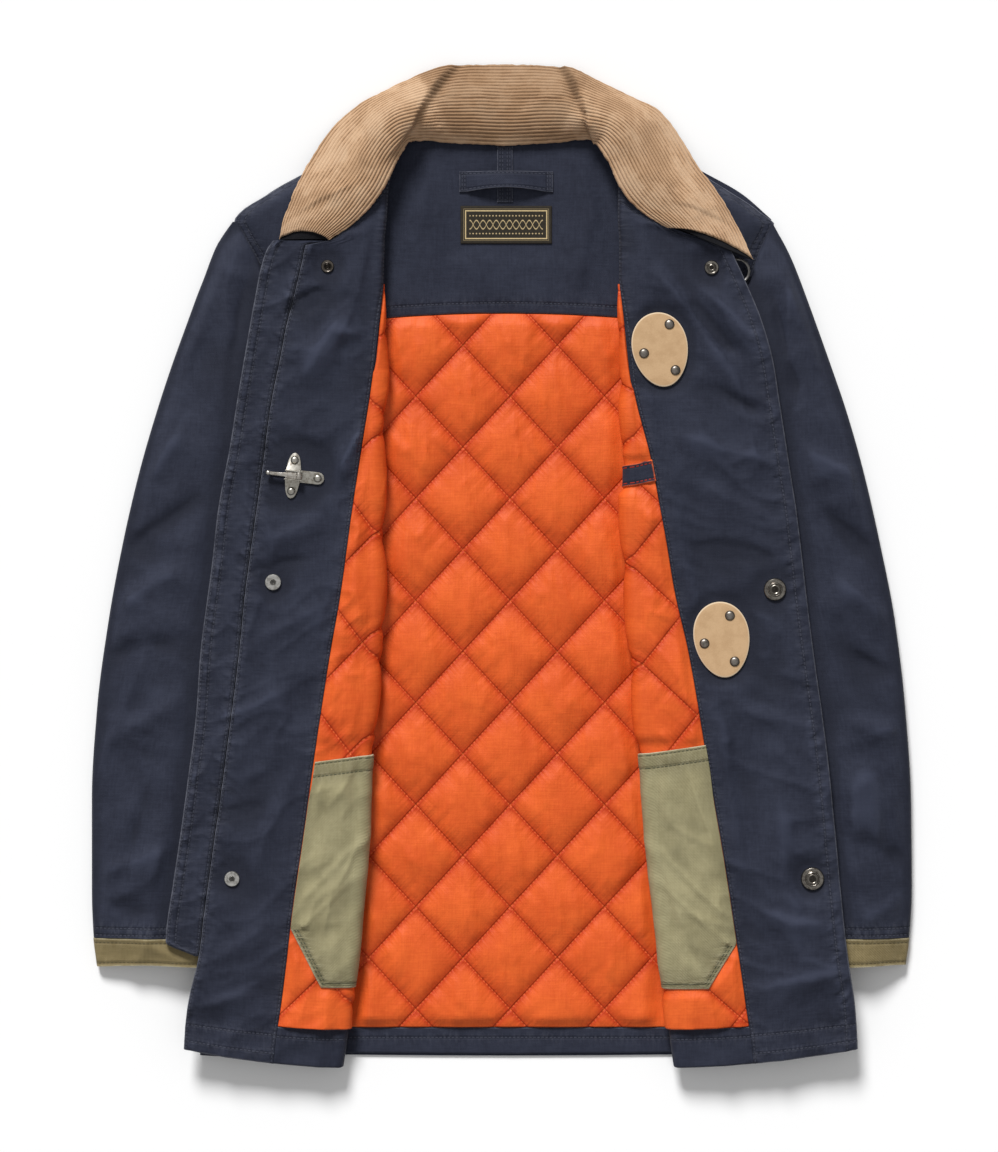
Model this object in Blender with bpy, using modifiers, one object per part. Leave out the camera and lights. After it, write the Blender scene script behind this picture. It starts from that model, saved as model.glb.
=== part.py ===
"""A firefighter's jacket laid flat on its back with both fronts opened outwards.

The wearer's right front is on -X and the left front on +X, the collar is towards +Y and the
table is z = 0. Tables are in millimetres. On each front, x is counted outwards from the centre
line, so both sides use the same functions and a sign puts them on their side.
"""
import math
from collections import namedtuple

import bmesh
import bpy
import numpy as np
from mathutils import Matrix, Vector

MM = 0.001

# Cloth thicknesses and the order of the layers, from the table up
CLOTH = 1.4
SEAM = 0.3
BACK_LINING_FLAT = 1.8
BACK_PUFF = 3.2
FRONT_LINING_FLAT = 2.0
FRONT_PUFF = 2.4
FACING = 1.4
SLEEVE_WALL = 2.3
FRONT_LEVEL = 11.6
EDGE_LEVEL = 3.2
BEND_SLACK = 1.0
LINING_GAP = 0.5
SHARP_ANGLE = math.radians(50)

# How the front's cloth turns round the fold, rises from the side seam and drops at the hem
FOLD_COVER = 1.0
FOLD_SEAM = 0.6
FACING_LEAST = 3.0
EDGE_RAMP = 22.0
HEM_DROP = 9.0
FAR_OUT = 300.0

# Quilting: half the width and half the height of one diamond
QUILT_HALF_WIDTH = 39.3
QUILT_HALF_HEIGHT = 42.5
Lattice = namedtuple("Lattice", "u y lean half_height")
BACK_LATTICE = Lattice(u=4.3, y=140.6, lean=0.0, half_height=QUILT_HALF_HEIGHT)
FRONT_LATTICES = {
    "right": Lattice(u=117.9, y=-63.9, lean=-0.115, half_height=45.5),
    "left": Lattice(u=113.9, y=-81.8, lean=-0.14, half_height=42.0),
}

# One row for each height on the jacket: the body's side, armhole or shoulder line, the line where
# the front is folded back, the facing's inner edge and the front edge. Above y = 269 the front
# ends at the collar seam.
FrontRow = namedtuple("FrontRow", "y side fold facing edge")
FRONT_ROWS = {
    "right": [
        FrontRow(-416, 254, 133, 192, 266),
        FrontRow(-396, 254, 130, 190, 265),
        FrontRow(-369, 255, 127, 186, 262),
        FrontRow(-329, 256, 122, 181, 254),
        FrontRow(-292, 257, 118.5, 177, 249.5),
        FrontRow(-237, 258, 114, 169, 242),
        FrontRow(-159, 258, 110, 158, 231),
        FrontRow(-80, 260, 104, 146, 221),
        FrontRow(-22, 261, 101, 136, 215),
        FrontRow(51, 256, 101.5, 126, 205),
        FrontRow(80, 220, 102, 121.5, 201),
        FrontRow(138, 197, 100, 112.5, 193),
        FrontRow(177, 190, 99, 107, 185),
        FrontRow(196, 190, 99, 104, 181.5),
        FrontRow(232, 195, 99, 99, 172.5),
        FrontRow(251, 202, 98.5, 98.5, 168),
        FrontRow(266, 210, 98, 98, 164.5),
        FrontRow(269, 212, 98, 98, 145.5),
        FrontRow(280, 218, 97, 97, 131.8),
        FrontRow(290, 223, 96, 96, 119.8),
        FrontRow(310, 197, 95, 95, 102.8),
        FrontRow(327, 167, 92, 92, 95.4),
        FrontRow(343, 137, 88, 88, 91),
    ],
    "left": [
        FrontRow(-417, 257, 139, 206, 292),
        FrontRow(-396, 257, 136, 204, 291),
        FrontRow(-369, 257, 133, 200, 289),
        FrontRow(-340, 257, 129.5, 196, 285),
        FrontRow(-305, 257, 126, 191, 281),
        FrontRow(-253, 257, 119.5, 183, 276),
        FrontRow(-153, 258, 111, 166, 266),
        FrontRow(-71, 259, 104, 152, 255),
        FrontRow(-23, 259, 101, 141, 249),
        FrontRow(24, 258, 97.5, 133, 243.5),
        FrontRow(51, 256, 97.5, 128, 240),
        FrontRow(86, 222, 98, 121.5, 234.5),
        FrontRow(138, 201, 97, 108.5, 226.5),
        FrontRow(167, 196, 96, 103, 222),
        FrontRow(203, 196, 94, 98, 212),
        FrontRow(237, 200, 93, 93, 198),
        FrontRow(252, 206, 93, 93, 191),
        FrontRow(262, 209, 93, 93, 186),
        FrontRow(269, 212, 93, 93, 175),
        FrontRow(272, 214, 93, 93, 160),
        FrontRow(286, 220, 92, 92, 127.8),
        FrontRow(296, 211, 92, 92, 111.8),
        FrontRow(312, 187, 92, 92, 97.8),
        FrontRow(327, 163, 90, 90, 93.4),
        FrontRow(343, 137, 86, 86, 89),
    ],
}

# The heights at which every piece of the fronts, the sleeves and the fly strip has a row
HEIGHTS = [-416.5, -400, -384, -340, -290, -230, -160, -90, -30, 20, 51, 80, 112, 150, 196, 226,
           240, 252, 266.5, 269.5, 281, 296, 312, 327, 343]

# How far the folded-back front lies above the front below it: the sleeve lies between them
LiftRow = namedtuple("LiftRow", "y lift")
LIFT_ROWS = [
    LiftRow(-417, 4.4), LiftRow(-370, 6.2), LiftRow(-338, 8.6), LiftRow(255, 8.6),
    LiftRow(285, 7.4), LiftRow(312, 5.6), LiftRow(343, 4.0),
]
# The hem line of the folded-back front climbs towards its edge
HEM_RISE = 16.0
HEM_BULGE = 4.0
HEM_REACH = 110.0
HEM_TOP = -384.0
HEM_TURNED = 60.0
LINING_TOP = 262.0
LINING_ROWS = 33
LINING_KEPT = [0, 2, 3, 4, 5, 6, 8, 11]
LINING_REACH = 46.0
LINING_MARGIN = 26.0
LINING_STEP = 12.0
PUFF_FADE = 6.0
NARROW_PUFF = 0.4

# The sleeves: outer and inner fold, the height of the lower cloth at the inner fold, the height
# of the upper cloth there and at the outer fold
SleeveRow = namedtuple("SleeveRow", "y outer inner low high outer_high")
SLEEVE_ROWS = {
    "right": [
        SleeveRow(-332.5, 339.5, 196, 12.2, 18.6, 8.0),
        SleeveRow(-309, 342.5, 192, 12.2, 19.4, 8.8),
        SleeveRow(-270, 344.0, 185, 12.2, 19.9, 9.6),
        SleeveRow(-194, 344.0, 169, 12.2, 19.9, 10.0),
        SleeveRow(-120, 339.8, 155, 12.2, 19.9, 10.0),
        SleeveRow(-45, 330.0, 138, 12.2, 19.9, 10.0),
        SleeveRow(20, 318.0, 128, 12.2, 19.9, 10.0),
        SleeveRow(80, 304.0, 126, 12.2, 19.9, 10.0),
        SleeveRow(129, 289.8, 134, 12.2, 19.9, 10.0),
        SleeveRow(168, 277.0, 148, 12.2, 19.9, 10.0),
        SleeveRow(204, 264.0, 168, 12.2, 18.0, 10.0),
        SleeveRow(226, 256.0, 188, 12.2, 15.8, 9.6),
        SleeveRow(240, 250.5, 200.5, 9.0, 14.0, 9.2),
        SleeveRow(254, 245.4, 205, 3.0, 9.0, 8.4),
        SleeveRow(266, 240.5, 211.5, 0.4, 6.4, 7.4),
        SleeveRow(279, 232.5, 218.5, 0.3, 5.4, 6.4),
        SleeveRow(286.5, 227.0, 222.5, 0.3, 5.0, 5.6),
    ],
    "left": [
        SleeveRow(-332.5, 333.5, 196, 12.2, 18.6, 8.0),
        SleeveRow(-309, 336.5, 192, 12.2, 19.4, 8.8),
        SleeveRow(-270, 338.7, 185, 12.2, 19.9, 9.6),
        SleeveRow(-194, 338.0, 169, 12.2, 19.9, 10.0),
        SleeveRow(-120, 333.4, 155, 12.2, 19.9, 10.0),
        SleeveRow(-45, 324.6, 138, 12.2, 19.9, 10.0),
        SleeveRow(20, 312.0, 128, 12.2, 19.9, 10.0),
        SleeveRow(80, 298.2, 126, 12.2, 19.9, 10.0),
        SleeveRow(129, 284.3, 134, 12.2, 19.9, 10.0),
        SleeveRow(168, 271.0, 148, 12.2, 19.9, 10.0),
        SleeveRow(204, 258.2, 172, 12.2, 18.0, 10.0),
        SleeveRow(226, 250.2, 193, 12.2, 15.8, 9.6),
        SleeveRow(240, 245.0, 204.0, 9.0, 14.0, 9.2),
        SleeveRow(254, 239.4, 208.5, 3.0, 9.0, 8.4),
        SleeveRow(266, 233.8, 213.5, 0.4, 6.4, 7.4),
        SleeveRow(279, 226.6, 219, 0.3, 5.4, 6.4),
        SleeveRow(284.5, 223.5, 221.5, 0.3, 5.0, 5.6),
    ],
}
SLEEVE_HEIGHTS = [-309, -230, -90, 20, 51, 80, 112, 150, 196, 226, 240, 252, 266, 279]
SLEEVE_STEP = 22.0
SLEEVE_CLEAR = 4.0
SLEEVE_TURN = 4.0
SLEEVE_LEAST = 0.4
SLEEVE_CREST = (0.25, 0.75)
FLAP_CLEAR = 3.0
CUFF_TOP = -309.2
CUFF_HEIGHTS = [-332.5, -320.0, CUFF_TOP - SEAM]

# The fly strip sewn along the wearer's right front edge
PlacketRow = namedtuple("PlacketRow", "y outer")
PLACKET_ROWS = [
    PlacketRow(-326, 257), PlacketRow(-312, 281), PlacketRow(-264, 275), PlacketRow(-218, 268),
    PlacketRow(-172, 262), PlacketRow(-125, 256), PlacketRow(-70, 252), PlacketRow(-1, 243),
    PlacketRow(50, 237), PlacketRow(97, 228), PlacketRow(129, 223), PlacketRow(177, 215),
    PlacketRow(217, 208), PlacketRow(247, 202), PlacketRow(262, 197), PlacketRow(269, 192),
]
PLACKET_THICK = 3.1
PLACKET_ROUND = 0.7

# The collar, one row a section from the wearer's right end to the left end: the seam, the outer
# edge, their heights and how far the cloth between them arches up
CollarRow = namedtuple("CollarRow", "ax ay az bx by bz arch")
COLLAR_ROWS = [
    CollarRow(-147, 270, 25.3, -187, 271, 16.5, 5.0),
    CollarRow(-137, 276, 25.3, -184, 286, 16.0, 7.0),
    CollarRow(-122, 287, 25.3, -178, 303, 15.5, 9.0),
    CollarRow(-110, 300, 25.3, -170, 322, 13.0, 11.0),
    CollarRow(-100, 314, 25.0, -160, 340, 9.0, 13.0),
    CollarRow(-93, 329, 23.0, -146, 362, 5.0, 15.0),
    CollarRow(-86, 343, 19.5, -124, 382, 3.0, 18.0),
    CollarRow(-79, 353, 11.0, -98, 395, 2.4, 19.0),
    CollarRow(-66, 355, 5.4, -70, 407, 2.4, 17.0),
    CollarRow(-44, 353, 5.0, -44, 416, 2.4, 14.0),
    CollarRow(-22, 352, 5.0, -22, 417.5, 2.4, 12.5),
    CollarRow(0, 351, 5.0, 0, 417.5, 2.4, 12.0),
    CollarRow(22, 352, 5.0, 22, 417.5, 2.4, 12.5),
    CollarRow(44, 353.5, 5.0, 46, 415.5, 2.4, 14.0),
    CollarRow(64, 356, 5.4, 74, 403, 2.4, 17.0),
    CollarRow(77, 353, 11.0, 102, 391, 2.4, 19.0),
    CollarRow(83, 342, 19.5, 128, 379, 3.0, 18.0),
    CollarRow(89, 328, 23.0, 145, 358, 5.0, 15.0),
    CollarRow(96, 313, 25.0, 159, 334, 9.0, 13.0),
    CollarRow(108, 298, 25.3, 174, 313, 13.0, 11.0),
    CollarRow(120, 289, 25.3, 187, 292, 15.5, 9.0),
    CollarRow(129, 284, 25.3, 197, 273, 19.0, 9.0),
    CollarRow(136, 281, 25.3, 205, 254, 23.0, 8.5),
]
WALES = 18
COLLAR_STRIDE = 6
WALE_RISE = 0.7
COLLAR_TOP = 1.3
COLLAR_UNDER = 1.2
COLLAR_SECTIONS = 27
ARCH_POWER = 0.85

Point = namedtuple("Point", "x y")
BACK_HALF = [
    Point(0, 352.5), Point(40, 354), Point(64, 357), Point(79, 359.5), Point(137, 343.5),
    Point(167, 327.5), Point(197, 310.5), Point(222, 289), Point(210, 264), Point(199, 240),
    Point(192, 205), Point(191, 180), Point(197, 140), Point(220, 82), Point(255, 51),
    Point(258, 20), Point(258, -160), Point(256, -300), Point(255, -400), Point(253, -405),
    Point(120, -407), Point(0, -408),
]
YOKE_HALF = [
    Point(0, 352.0), Point(40, 353.5), Point(62, 356.5), Point(76, 357.5), Point(95, 345),
    Point(150, 306), Point(168, 270),
]
YOKE_BOTTOM_XS = [160, 130, 100, 80, 60, 40, 20, 0]
YOKE_EDGE = 210.6
YOKE_EDGE_DROP = 4.0
YOKE_SEAM = 0.5
BACK_LINING_BOTTOM = -384.0
BACK_HEM = {"half": 236.0, "bottom": -406.6, "rise": 2.0}
BACK_HALF_LINING = 131.0
BACK_SIDE_MARGIN = 20.0
QUILT_CLEAR = 3.0

LOOP = {"x0": -38.0, "x1": 40.0, "y0": 311.5, "y1": 328.5, "rise": 8.0, "stitched": 5.0}
TAPE = {"x0": -6.5, "x1": 6.5, "y0": 303.0, "y1": 349.5}
LABEL = {"x0": -37.0, "x1": 39.0, "y0": 268.5, "y1": 300.0}
LOOP_STEPS = 12
THIN = 0.9

PocketRow = namedtuple("PocketRow", "y limit")
POCKET_ROWS = {
    "right": [PocketRow(-349.5, 152.5), PocketRow(-325, 165), PocketRow(-301, 177),
              PocketRow(-270, None), PocketRow(-235, None), PocketRow(-197, None),
              PocketRow(-173, None), PocketRow(-156, None)],
    "left": [PocketRow(-350.5, 168.5), PocketRow(-332, 180), PocketRow(-314, 191),
             PocketRow(-280, None), PocketRow(-240, None), PocketRow(-197, None),
             PocketRow(-173, None), PocketRow(-155, None)],
}
POCKET_TILT = {"right": -6.0, "left": 8.0}
POCKET_TOP_ROWS = 2
POCKET_START = 0.35
POCKET_PRESS = {"along": 24.0, "across": 14.0}
WELT = {"y0": 65.0, "y1": 83.0, "tilt": 5.0, "start": 0.5, "press": 22.0}

Snap = namedtuple("Snap", "name side x y radius rise style")
SNAPS = [
    Snap("snap_top_right", "right", 147, 248, 5.4, 1.6, "socket"),
    Snap("snap_middle_right", "right", 192, -13.5, 6.9, 1.9, "stud"),
    Snap("snap_bottom_right", "right", 226, -259, 6.5, 1.9, "stud"),
    Snap("snap_top_left", "left", 171, 247, 6.0, 1.8, "socket"),
    Snap("snap_middle_left", "left", 223.5, -19.5, 9.4, 2.6, "socket"),
    Snap("snap_bottom_left", "left", 254.5, -259, 9.7, 2.6, "socket"),
]
# Each profile is counted in the snap's radius and rise
Ring = namedtuple("Ring", "across up")
SNAP_PROFILES = {
    "stud": [Ring(0, 0.95), Ring(0.22, 0.95), Ring(0.3, 0.25), Ring(0.5, 0.3), Ring(0.62, 0.7),
             Ring(0.86, 0.7)],
    "socket": [Ring(0, 0.3), Ring(0.4, 0.3), Ring(0.44, 0.8), Ring(0.58, 1.0), Ring(0.7, 0.75),
               Ring(0.92, 0.6)],
}
SNAP_FINISH = {"stud": "nickel", "socket": "gunmetal"}
SNAP_LIP = 0.3
# A rivet's head: across in its radius, up in millimetres
RIVET_PROFILE = [Ring(0, 1.5), Ring(0.6, 1.2), Ring(1.0, 0.2), Ring(1.0, 0.0), Ring(0, 0.0)]
Patch = namedtuple("Patch", "name x y seat half_width half_height lean rivets")
PATCHES = [
    Patch("patch_upper", 128.5, 179.0, 0.9, 23.0, 31.0, 10.0, [(136, 200), (115, 176), (141, 162)]),
    Patch("patch_lower", 179.5, -61.0, 0.4, 23.0, 31.5, 8.0, [(186, -41), (165, -64), (190, -79)]),
]
PATCH_THICK = 1.8
PATCH_STEPS = 28
PATCH_EGG = 0.1
RIVET_RADIUS = 4.1

CLASP_X = -175.5
CLASP_Y = 74.8
CLASP_TURN = math.radians(-6.5)
CLASP_PLATE = 1.2
CLASP_RIVETS = [Point(0, 13.0), Point(0, -13.0), Point(20.6, 0)]
CLASP_RIVET_RADIUS = 3.4
UPRIGHT = {"end": 12.8, "radius": 6.2}
ARM = {"end": 21.0, "start": -4.0, "radius": 5.0}
HOOK = {"end": -19.5, "half": 1.5, "tip_half": 1.3, "lip": 1.9, "top": 2.9}
EAR = {"x0": -6.5, "x1": 8.0, "y": 4.1, "thick": 1.0, "above_pin": 2.0}
PIN = {"x": 5.2, "z": 5.2, "radius": 1.2, "past_ear": 0.6}
LEVER = {"bore": 1.6, "wall": 1.0, "heel": -1.8, "knee": -8.0, "neck": -13.0, "tip": -24.5,
         "neck_half": 1.3, "tip_half": 1.1, "half_thick": 1.1, "play": 0.35, "ball": 2.2}

RING = {"x": 192.5, "y": 244.5, "radius": 10.0, "straight": 9.0, "wire": 1.25, "z": 17.9,
        "tip_drop": 0.6}
RING_TAB = {"half": 6.0, "reach": 16.0, "thick": 0.6}

COLOURS = {
    "navy": ((0.035, 0.045, 0.075, 1), 0.85, 0.0),
    "navy_inside": ((0.03, 0.038, 0.065, 1), 0.88, 0.0),
    "orange": ((0.83, 0.12, 0.02, 1), 0.5, 0.0),
    "corduroy": ((0.47, 0.31, 0.18, 1), 0.9, 0.0),
    "olive": ((0.27, 0.27, 0.15, 1), 0.85, 0.0),
    "olive_brown": ((0.2, 0.17, 0.09, 1), 0.85, 0.0),
    "label": ((0.02, 0.017, 0.014, 1), 0.7, 0.0),
    "suede": ((0.53, 0.39, 0.23, 1), 0.85, 0.0),
    "nickel": ((0.55, 0.53, 0.5, 1), 0.35, 1.0),
    "gunmetal": ((0.13, 0.12, 0.11, 1), 0.4, 1.0),
}
SIGN = {"right": -1.0, "left": 1.0}

parts = bpy.data.collections.new("firefighter_jacket")
cutters = bpy.data.collections.new("cutters")


# ---------------------------------------------------------------- helpers

def clear_scene():
    for obj in list(bpy.data.objects):
        bpy.data.objects.remove(obj, do_unlink=True)


def material(name):
    existing = bpy.data.materials.get(name)
    if existing:
        return existing
    colour, roughness, metallic = COLOURS[name]
    made = bpy.data.materials.new(name)
    made.use_nodes = True
    shader = made.node_tree.nodes["Principled BSDF"]
    shader.inputs["Base Color"].default_value = colour
    shader.inputs["Roughness"].default_value = roughness
    shader.inputs["Metallic"].default_value = metallic
    return made


def add_object(name, mesh, finish, collection=parts):
    obj = bpy.data.objects.new(name, mesh)
    obj.data.materials.append(material(finish))
    collection.objects.link(obj)
    return obj


def mesh_from(name, bm):
    mesh = bpy.data.meshes.new(name)
    bm.to_mesh(mesh)
    bm.free()
    return mesh


def smooth(rows, column, at):
    """Read one column of a table at a height, along a smooth curve through its rows."""
    ys = [row.y for row in rows]
    values = [getattr(row, column) for row in rows]
    if ys[0] > ys[-1]:
        ys, values = ys[::-1], values[::-1]
    if at <= ys[0]:
        return values[0]
    if at >= ys[-1]:
        return values[-1]
    k = next(i for i in range(len(ys) - 1) if ys[i] <= at <= ys[i + 1])
    span = ys[k + 1] - ys[k]
    slope = (values[k + 1] - values[k]) / span

    def tangent(i):
        if i == 0 or i == len(ys) - 1:
            return slope
        before = (values[i] - values[i - 1]) / (ys[i] - ys[i - 1])
        after = (values[i + 1] - values[i]) / (ys[i + 1] - ys[i])
        if before * after <= 0:
            return 0.0
        return 2 * before * after / (before + after)

    t = (at - ys[k]) / span
    return ((2 * t**3 - 3 * t**2 + 1) * values[k] + (t**3 - 2 * t**2 + t) * span * tangent(k)
            + (3 * t**2 - 2 * t**3) * values[k + 1] + (t**3 - t**2) * span * tangent(k + 1))


def lofted(rows, column, at):
    """Read a column straight between the heights where every piece of the fronts has a row."""
    k = max(1, min(len(HEIGHTS) - 1, int(np.searchsorted(HEIGHTS, at))))
    low, high = HEIGHTS[k - 1], HEIGHTS[k]
    t = min(1.0, max(0.0, (at - low) / (high - low)))
    return smooth(rows, column, low) * (1 - t) + smooth(rows, column, high) * t


def closed_wall(name, outer, inner, finish, kept=None):
    """A wall between two grids of points; the inner grid keeps only the columns in kept."""
    bm = bmesh.new()
    rows, columns = len(outer), len(outer[0])
    kept = kept or list(range(columns))
    top = [[bm.verts.new(Vector(p) * MM) for p in row] for row in outer]
    low = [[bm.verts.new(Vector(inner[i][j]) * MM) for j in kept] for i in range(rows)]
    for i in range(rows - 1):
        for j in range(columns - 1):
            quad(bm, top[i][j], top[i][j + 1], top[i + 1][j + 1], top[i + 1][j])
        for j in range(len(kept) - 1):
            quad(bm, low[i][j], low[i + 1][j], low[i + 1][j + 1], low[i][j + 1])
        bm.faces.new((top[i][0], top[i + 1][0], low[i + 1][0], low[i][0]))
        bm.faces.new((top[i + 1][-1], top[i][-1], low[i][-1], low[i + 1][-1]))
    for i, flip in ((0, False), (rows - 1, True)):
        for j in range(len(kept) - 1):
            rim = [top[i][k] for k in range(kept[j], kept[j + 1] + 1)]
            loop = [low[i][j], low[i][j + 1]] + rim[::-1]
            bm.faces.new(loop[::-1] if flip else loop)
    bmesh.ops.recalc_face_normals(bm, faces=bm.faces)
    mesh = mesh_from(name, bm)
    mesh.shade_smooth()
    mesh.set_sharp_from_angle(angle=SHARP_ANGLE)
    return add_object(name, mesh, finish)


def quad(bm, a, b, c, d):
    """Split a quad along the diagonal that lies lower, so that stitched valleys stay straight."""
    if abs((a.co.z + c.co.z) - (b.co.z + d.co.z)) < 1e-6:
        bm.faces.new((a, b, c, d))
    elif a.co.z + c.co.z < b.co.z + d.co.z:
        bm.faces.new((a, b, c))
        bm.faces.new((a, c, d))
    else:
        bm.faces.new((a, b, d))
        bm.faces.new((b, c, d))


def tube_wall(name, outer, inner, finish):
    """A tube between outer and inner rings, open at both ends."""
    bm = bmesh.new()
    out = [[bm.verts.new(Vector(p) * MM) for p in ring] for ring in outer]
    ins = [[bm.verts.new(Vector(p) * MM) for p in ring] for ring in inner]
    count = len(out[0])
    for k in range(count):
        n = (k + 1) % count
        for i in range(len(out) - 1):
            bm.faces.new((out[i][k], out[i][n], out[i + 1][n], out[i + 1][k]))
            bm.faces.new((ins[i][k], ins[i + 1][k], ins[i + 1][n], ins[i][n]))
        bm.faces.new((out[0][n], out[0][k], ins[0][k], ins[0][n]))
        bm.faces.new((out[-1][k], out[-1][n], ins[-1][n], ins[-1][k]))
    bmesh.ops.recalc_face_normals(bm, faces=bm.faces)
    mesh = mesh_from(name, bm)
    mesh.shade_smooth()
    mesh.set_sharp_from_angle(angle=SHARP_ANGLE)
    return add_object(name, mesh, finish)


def plate(name, outline, z, thick, finish):
    """A flat piece with a filled outline, given as points in millimetres."""
    curve = bpy.data.curves.new(name, "CURVE")
    curve.dimensions = "2D"
    curve.fill_mode = "BOTH"
    curve.extrude = thick * MM / 2
    spline = curve.splines.new("POLY")
    spline.points.add(len(outline) - 1)
    for point, (x, y) in zip(spline.points, outline):
        point.co = (x * MM, y * MM, 0, 1)
    spline.use_cyclic_u = True
    guide = bpy.data.objects.new(name + "_outline", curve)
    parts.objects.link(guide)
    bpy.context.view_layer.update()
    evaluated = guide.evaluated_get(bpy.context.evaluated_depsgraph_get())
    mesh = bpy.data.meshes.new_from_object(evaluated)
    bpy.data.objects.remove(guide)
    bm = bmesh.new()
    bm.from_mesh(mesh)
    bpy.data.meshes.remove(mesh)
    bmesh.ops.remove_doubles(bm, verts=bm.verts, dist=1e-6)
    bmesh.ops.translate(bm, verts=bm.verts, vec=(0, 0, (z + thick / 2) * MM))
    bmesh.ops.recalc_face_normals(bm, faces=bm.faces)
    return add_object(name, mesh_from(name, bm), finish)


def mirrored(half):
    return [(p.x, p.y) for p in half] + [(-p.x, p.y) for p in half[-2:0:-1]]


def puffed(lattice, u, y):
    """How full a quilted diamond is at a point: 0 on the stitching, 1 at its middle."""
    across = (u - lattice.u - lattice.lean * (y - lattice.y)) / QUILT_HALF_WIDTH
    along = (y - lattice.y) / lattice.half_height
    p = abs(math.sin(math.pi * (across + along) / 2))
    q = abs(math.sin(math.pi * (across - along) / 2))
    return (p * q) ** 0.6


# ---------------------------------------------------------------- the fronts

class Rail:
    """The line that one front's cloth follows at one height, from its side seam to its edge.

    Length is counted from where the fold begins: less than 0 on the lower run, then round the
    fold and out along the folded-back run.
    """

    def __init__(self, side, y):
        rows = FRONT_ROWS[side]
        self.side, self.y = side, y
        self.radius = lofted(LIFT_ROWS, "lift", y) / 2
        wrap = CLOTH + SEAM + FRONT_LINING_FLAT + FOLD_COVER
        self.centre = lofted(rows, "fold", y) + self.radius + wrap
        self.outer = self.radius + wrap
        self.body = lofted(rows, "side", y)
        self.lower = self.body - self.centre
        self.bend = math.pi * self.radius
        self.end = self.length_at(lofted(rows, "edge", y))
        self.facing = min(self.length_at(lofted(rows, "facing", y)), self.end - FACING_LEAST)
        self.lining_end = self.facing - SEAM - (FOLD_SEAM if self.facing < self.bend + 1 else 0.0)

    def length_at(self, x):
        if x >= self.centre:
            return self.bend + x - self.centre
        reach = min(1.0, (self.centre - x) / self.outer)
        return self.radius * (math.pi - math.asin(reach))

    def at(self, length, offset):
        """The point at a length along the cloth and an offset out of the fold."""
        if length < 0:
            ramp = min(1.0, (self.lower + length) / EDGE_RAMP)
            level = EDGE_LEVEL + (FRONT_LEVEL - EDGE_LEVEL) * math.sin(ramp * math.pi / 2)
            return self.centre - length, level - offset
        if length <= self.bend:
            angle = length / self.radius
            reach = self.radius + offset
            return (self.centre - reach * math.sin(angle),
                    FRONT_LEVEL + self.radius - reach * math.cos(angle))
        return self.centre + length - self.bend, FRONT_LEVEL + 2 * self.radius + offset

    def unrolled(self, length):
        """The distance from the centre line that the cloth would have if it lay flat."""
        return self.centre + length - self.bend

    def point(self, length, offset):
        x, z = self.at(length, offset)
        span = max(1.0, self.end)
        along = min(1.0, max(0.0, length / span))
        near_hem = max(0.0, 1.0 - (self.y - FRONT_ROWS[self.side][0].y) / HEM_REACH)
        rise = HEM_RISE * along**2 + HEM_BULGE * along * (1 - along)
        lower = max(0.0, -length / max(1.0, self.lower))
        drop = HEM_DROP * min(1.0, lower * 1.5)
        return (SIGN[self.side] * x, self.y + near_hem * (rise + drop), z)


def slack(rail, length):
    """Extra room round the fold, where straight facets cut inside the curve."""
    if not 0.0 < length < rail.bend:
        return 0.0
    return BEND_SLACK * min(1.0, 4.0 * math.sin(math.pi * length / rail.bend))


def fold_columns(rail, start, end, bend_steps, run_steps):
    turn = min(rail.bend, end - 1.0)
    first = max(start, 0.0)
    columns = [first + (turn - first) * k / bend_steps for k in range(bend_steps + 1)]
    columns += [turn + (end - turn) * k / run_steps for k in range(1, run_steps + 1)]
    return columns


def front_outer(side):
    outer, inner = [], []
    for y in HEIGHTS:
        rail = Rail(side, y)
        columns = [-rail.lower + EDGE_RAMP * k / 2 for k in range(3)]
        columns += fold_columns(rail, 0, rail.end, 4, 2)
        inner.append([rail.point(c, 0.0) for c in columns])
        outer.append([rail.point(c, CLOTH) for c in columns])
    return closed_wall(f"front_outer_{side}", outer, inner, "navy")


def front_lining(side):
    lattice = FRONT_LATTICES[side]
    outer, inner = [], []
    for y in np.linspace(HEM_TOP, LINING_TOP, LINING_ROWS):
        rail = Rail(side, float(y))
        last = rail.lining_end
        columns = [-min(LINING_REACH, rail.lower - LINING_MARGIN), -LINING_STEP]
        columns += fold_columns(rail, 0, last, 4, 5)
        low, high = [], []
        for c in columns:
            offset = CLOTH + LINING_GAP + slack(rail, c)
            shown = min(1.0, max(0.0, c / PUFF_FADE))
            full = puffed(lattice, rail.unrolled(c), y) if rail.bend < last else NARROW_PUFF
            covered = pocket_covers(side, rail, c, y) or welt_covers(side, y)
            relief = 0.0 if covered else FRONT_PUFF * full * shown
            thick = FRONT_LINING_FLAT + relief - slack(rail, c) * 0.5
            low.append(rail.point(c, offset))
            high.append(rail.point(c, offset + thick))
        inner.append(low)
        outer.append(high)
    return closed_wall(f"front_lining_{side}", outer, inner, "orange", kept=LINING_KEPT)


def pocket_covers(side, rail, length, y):
    rows, along = POCKET_ROWS[side], POCKET_PRESS["along"]
    if not rows[0].y - along <= y <= rows[-1].y + along or length < 1.0:
        return False
    return length <= pocket_end(side, rail, y) + POCKET_PRESS["across"]


def welt_covers(side, y):
    low, high = WELT["y0"] - WELT["press"], WELT["y1"] + WELT["tilt"] + WELT["press"]
    return side == "left" and low <= y <= high


def pocket_end(side, rail, y):
    limits = [row for row in POCKET_ROWS[side] if row.limit]
    if y > limits[-1].y:
        return rail.lining_end - SEAM
    limit = float(np.interp(y, [row.y for row in limits], [row.limit for row in limits]))
    return min(rail.length_at(limit), rail.lining_end - SEAM)


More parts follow.
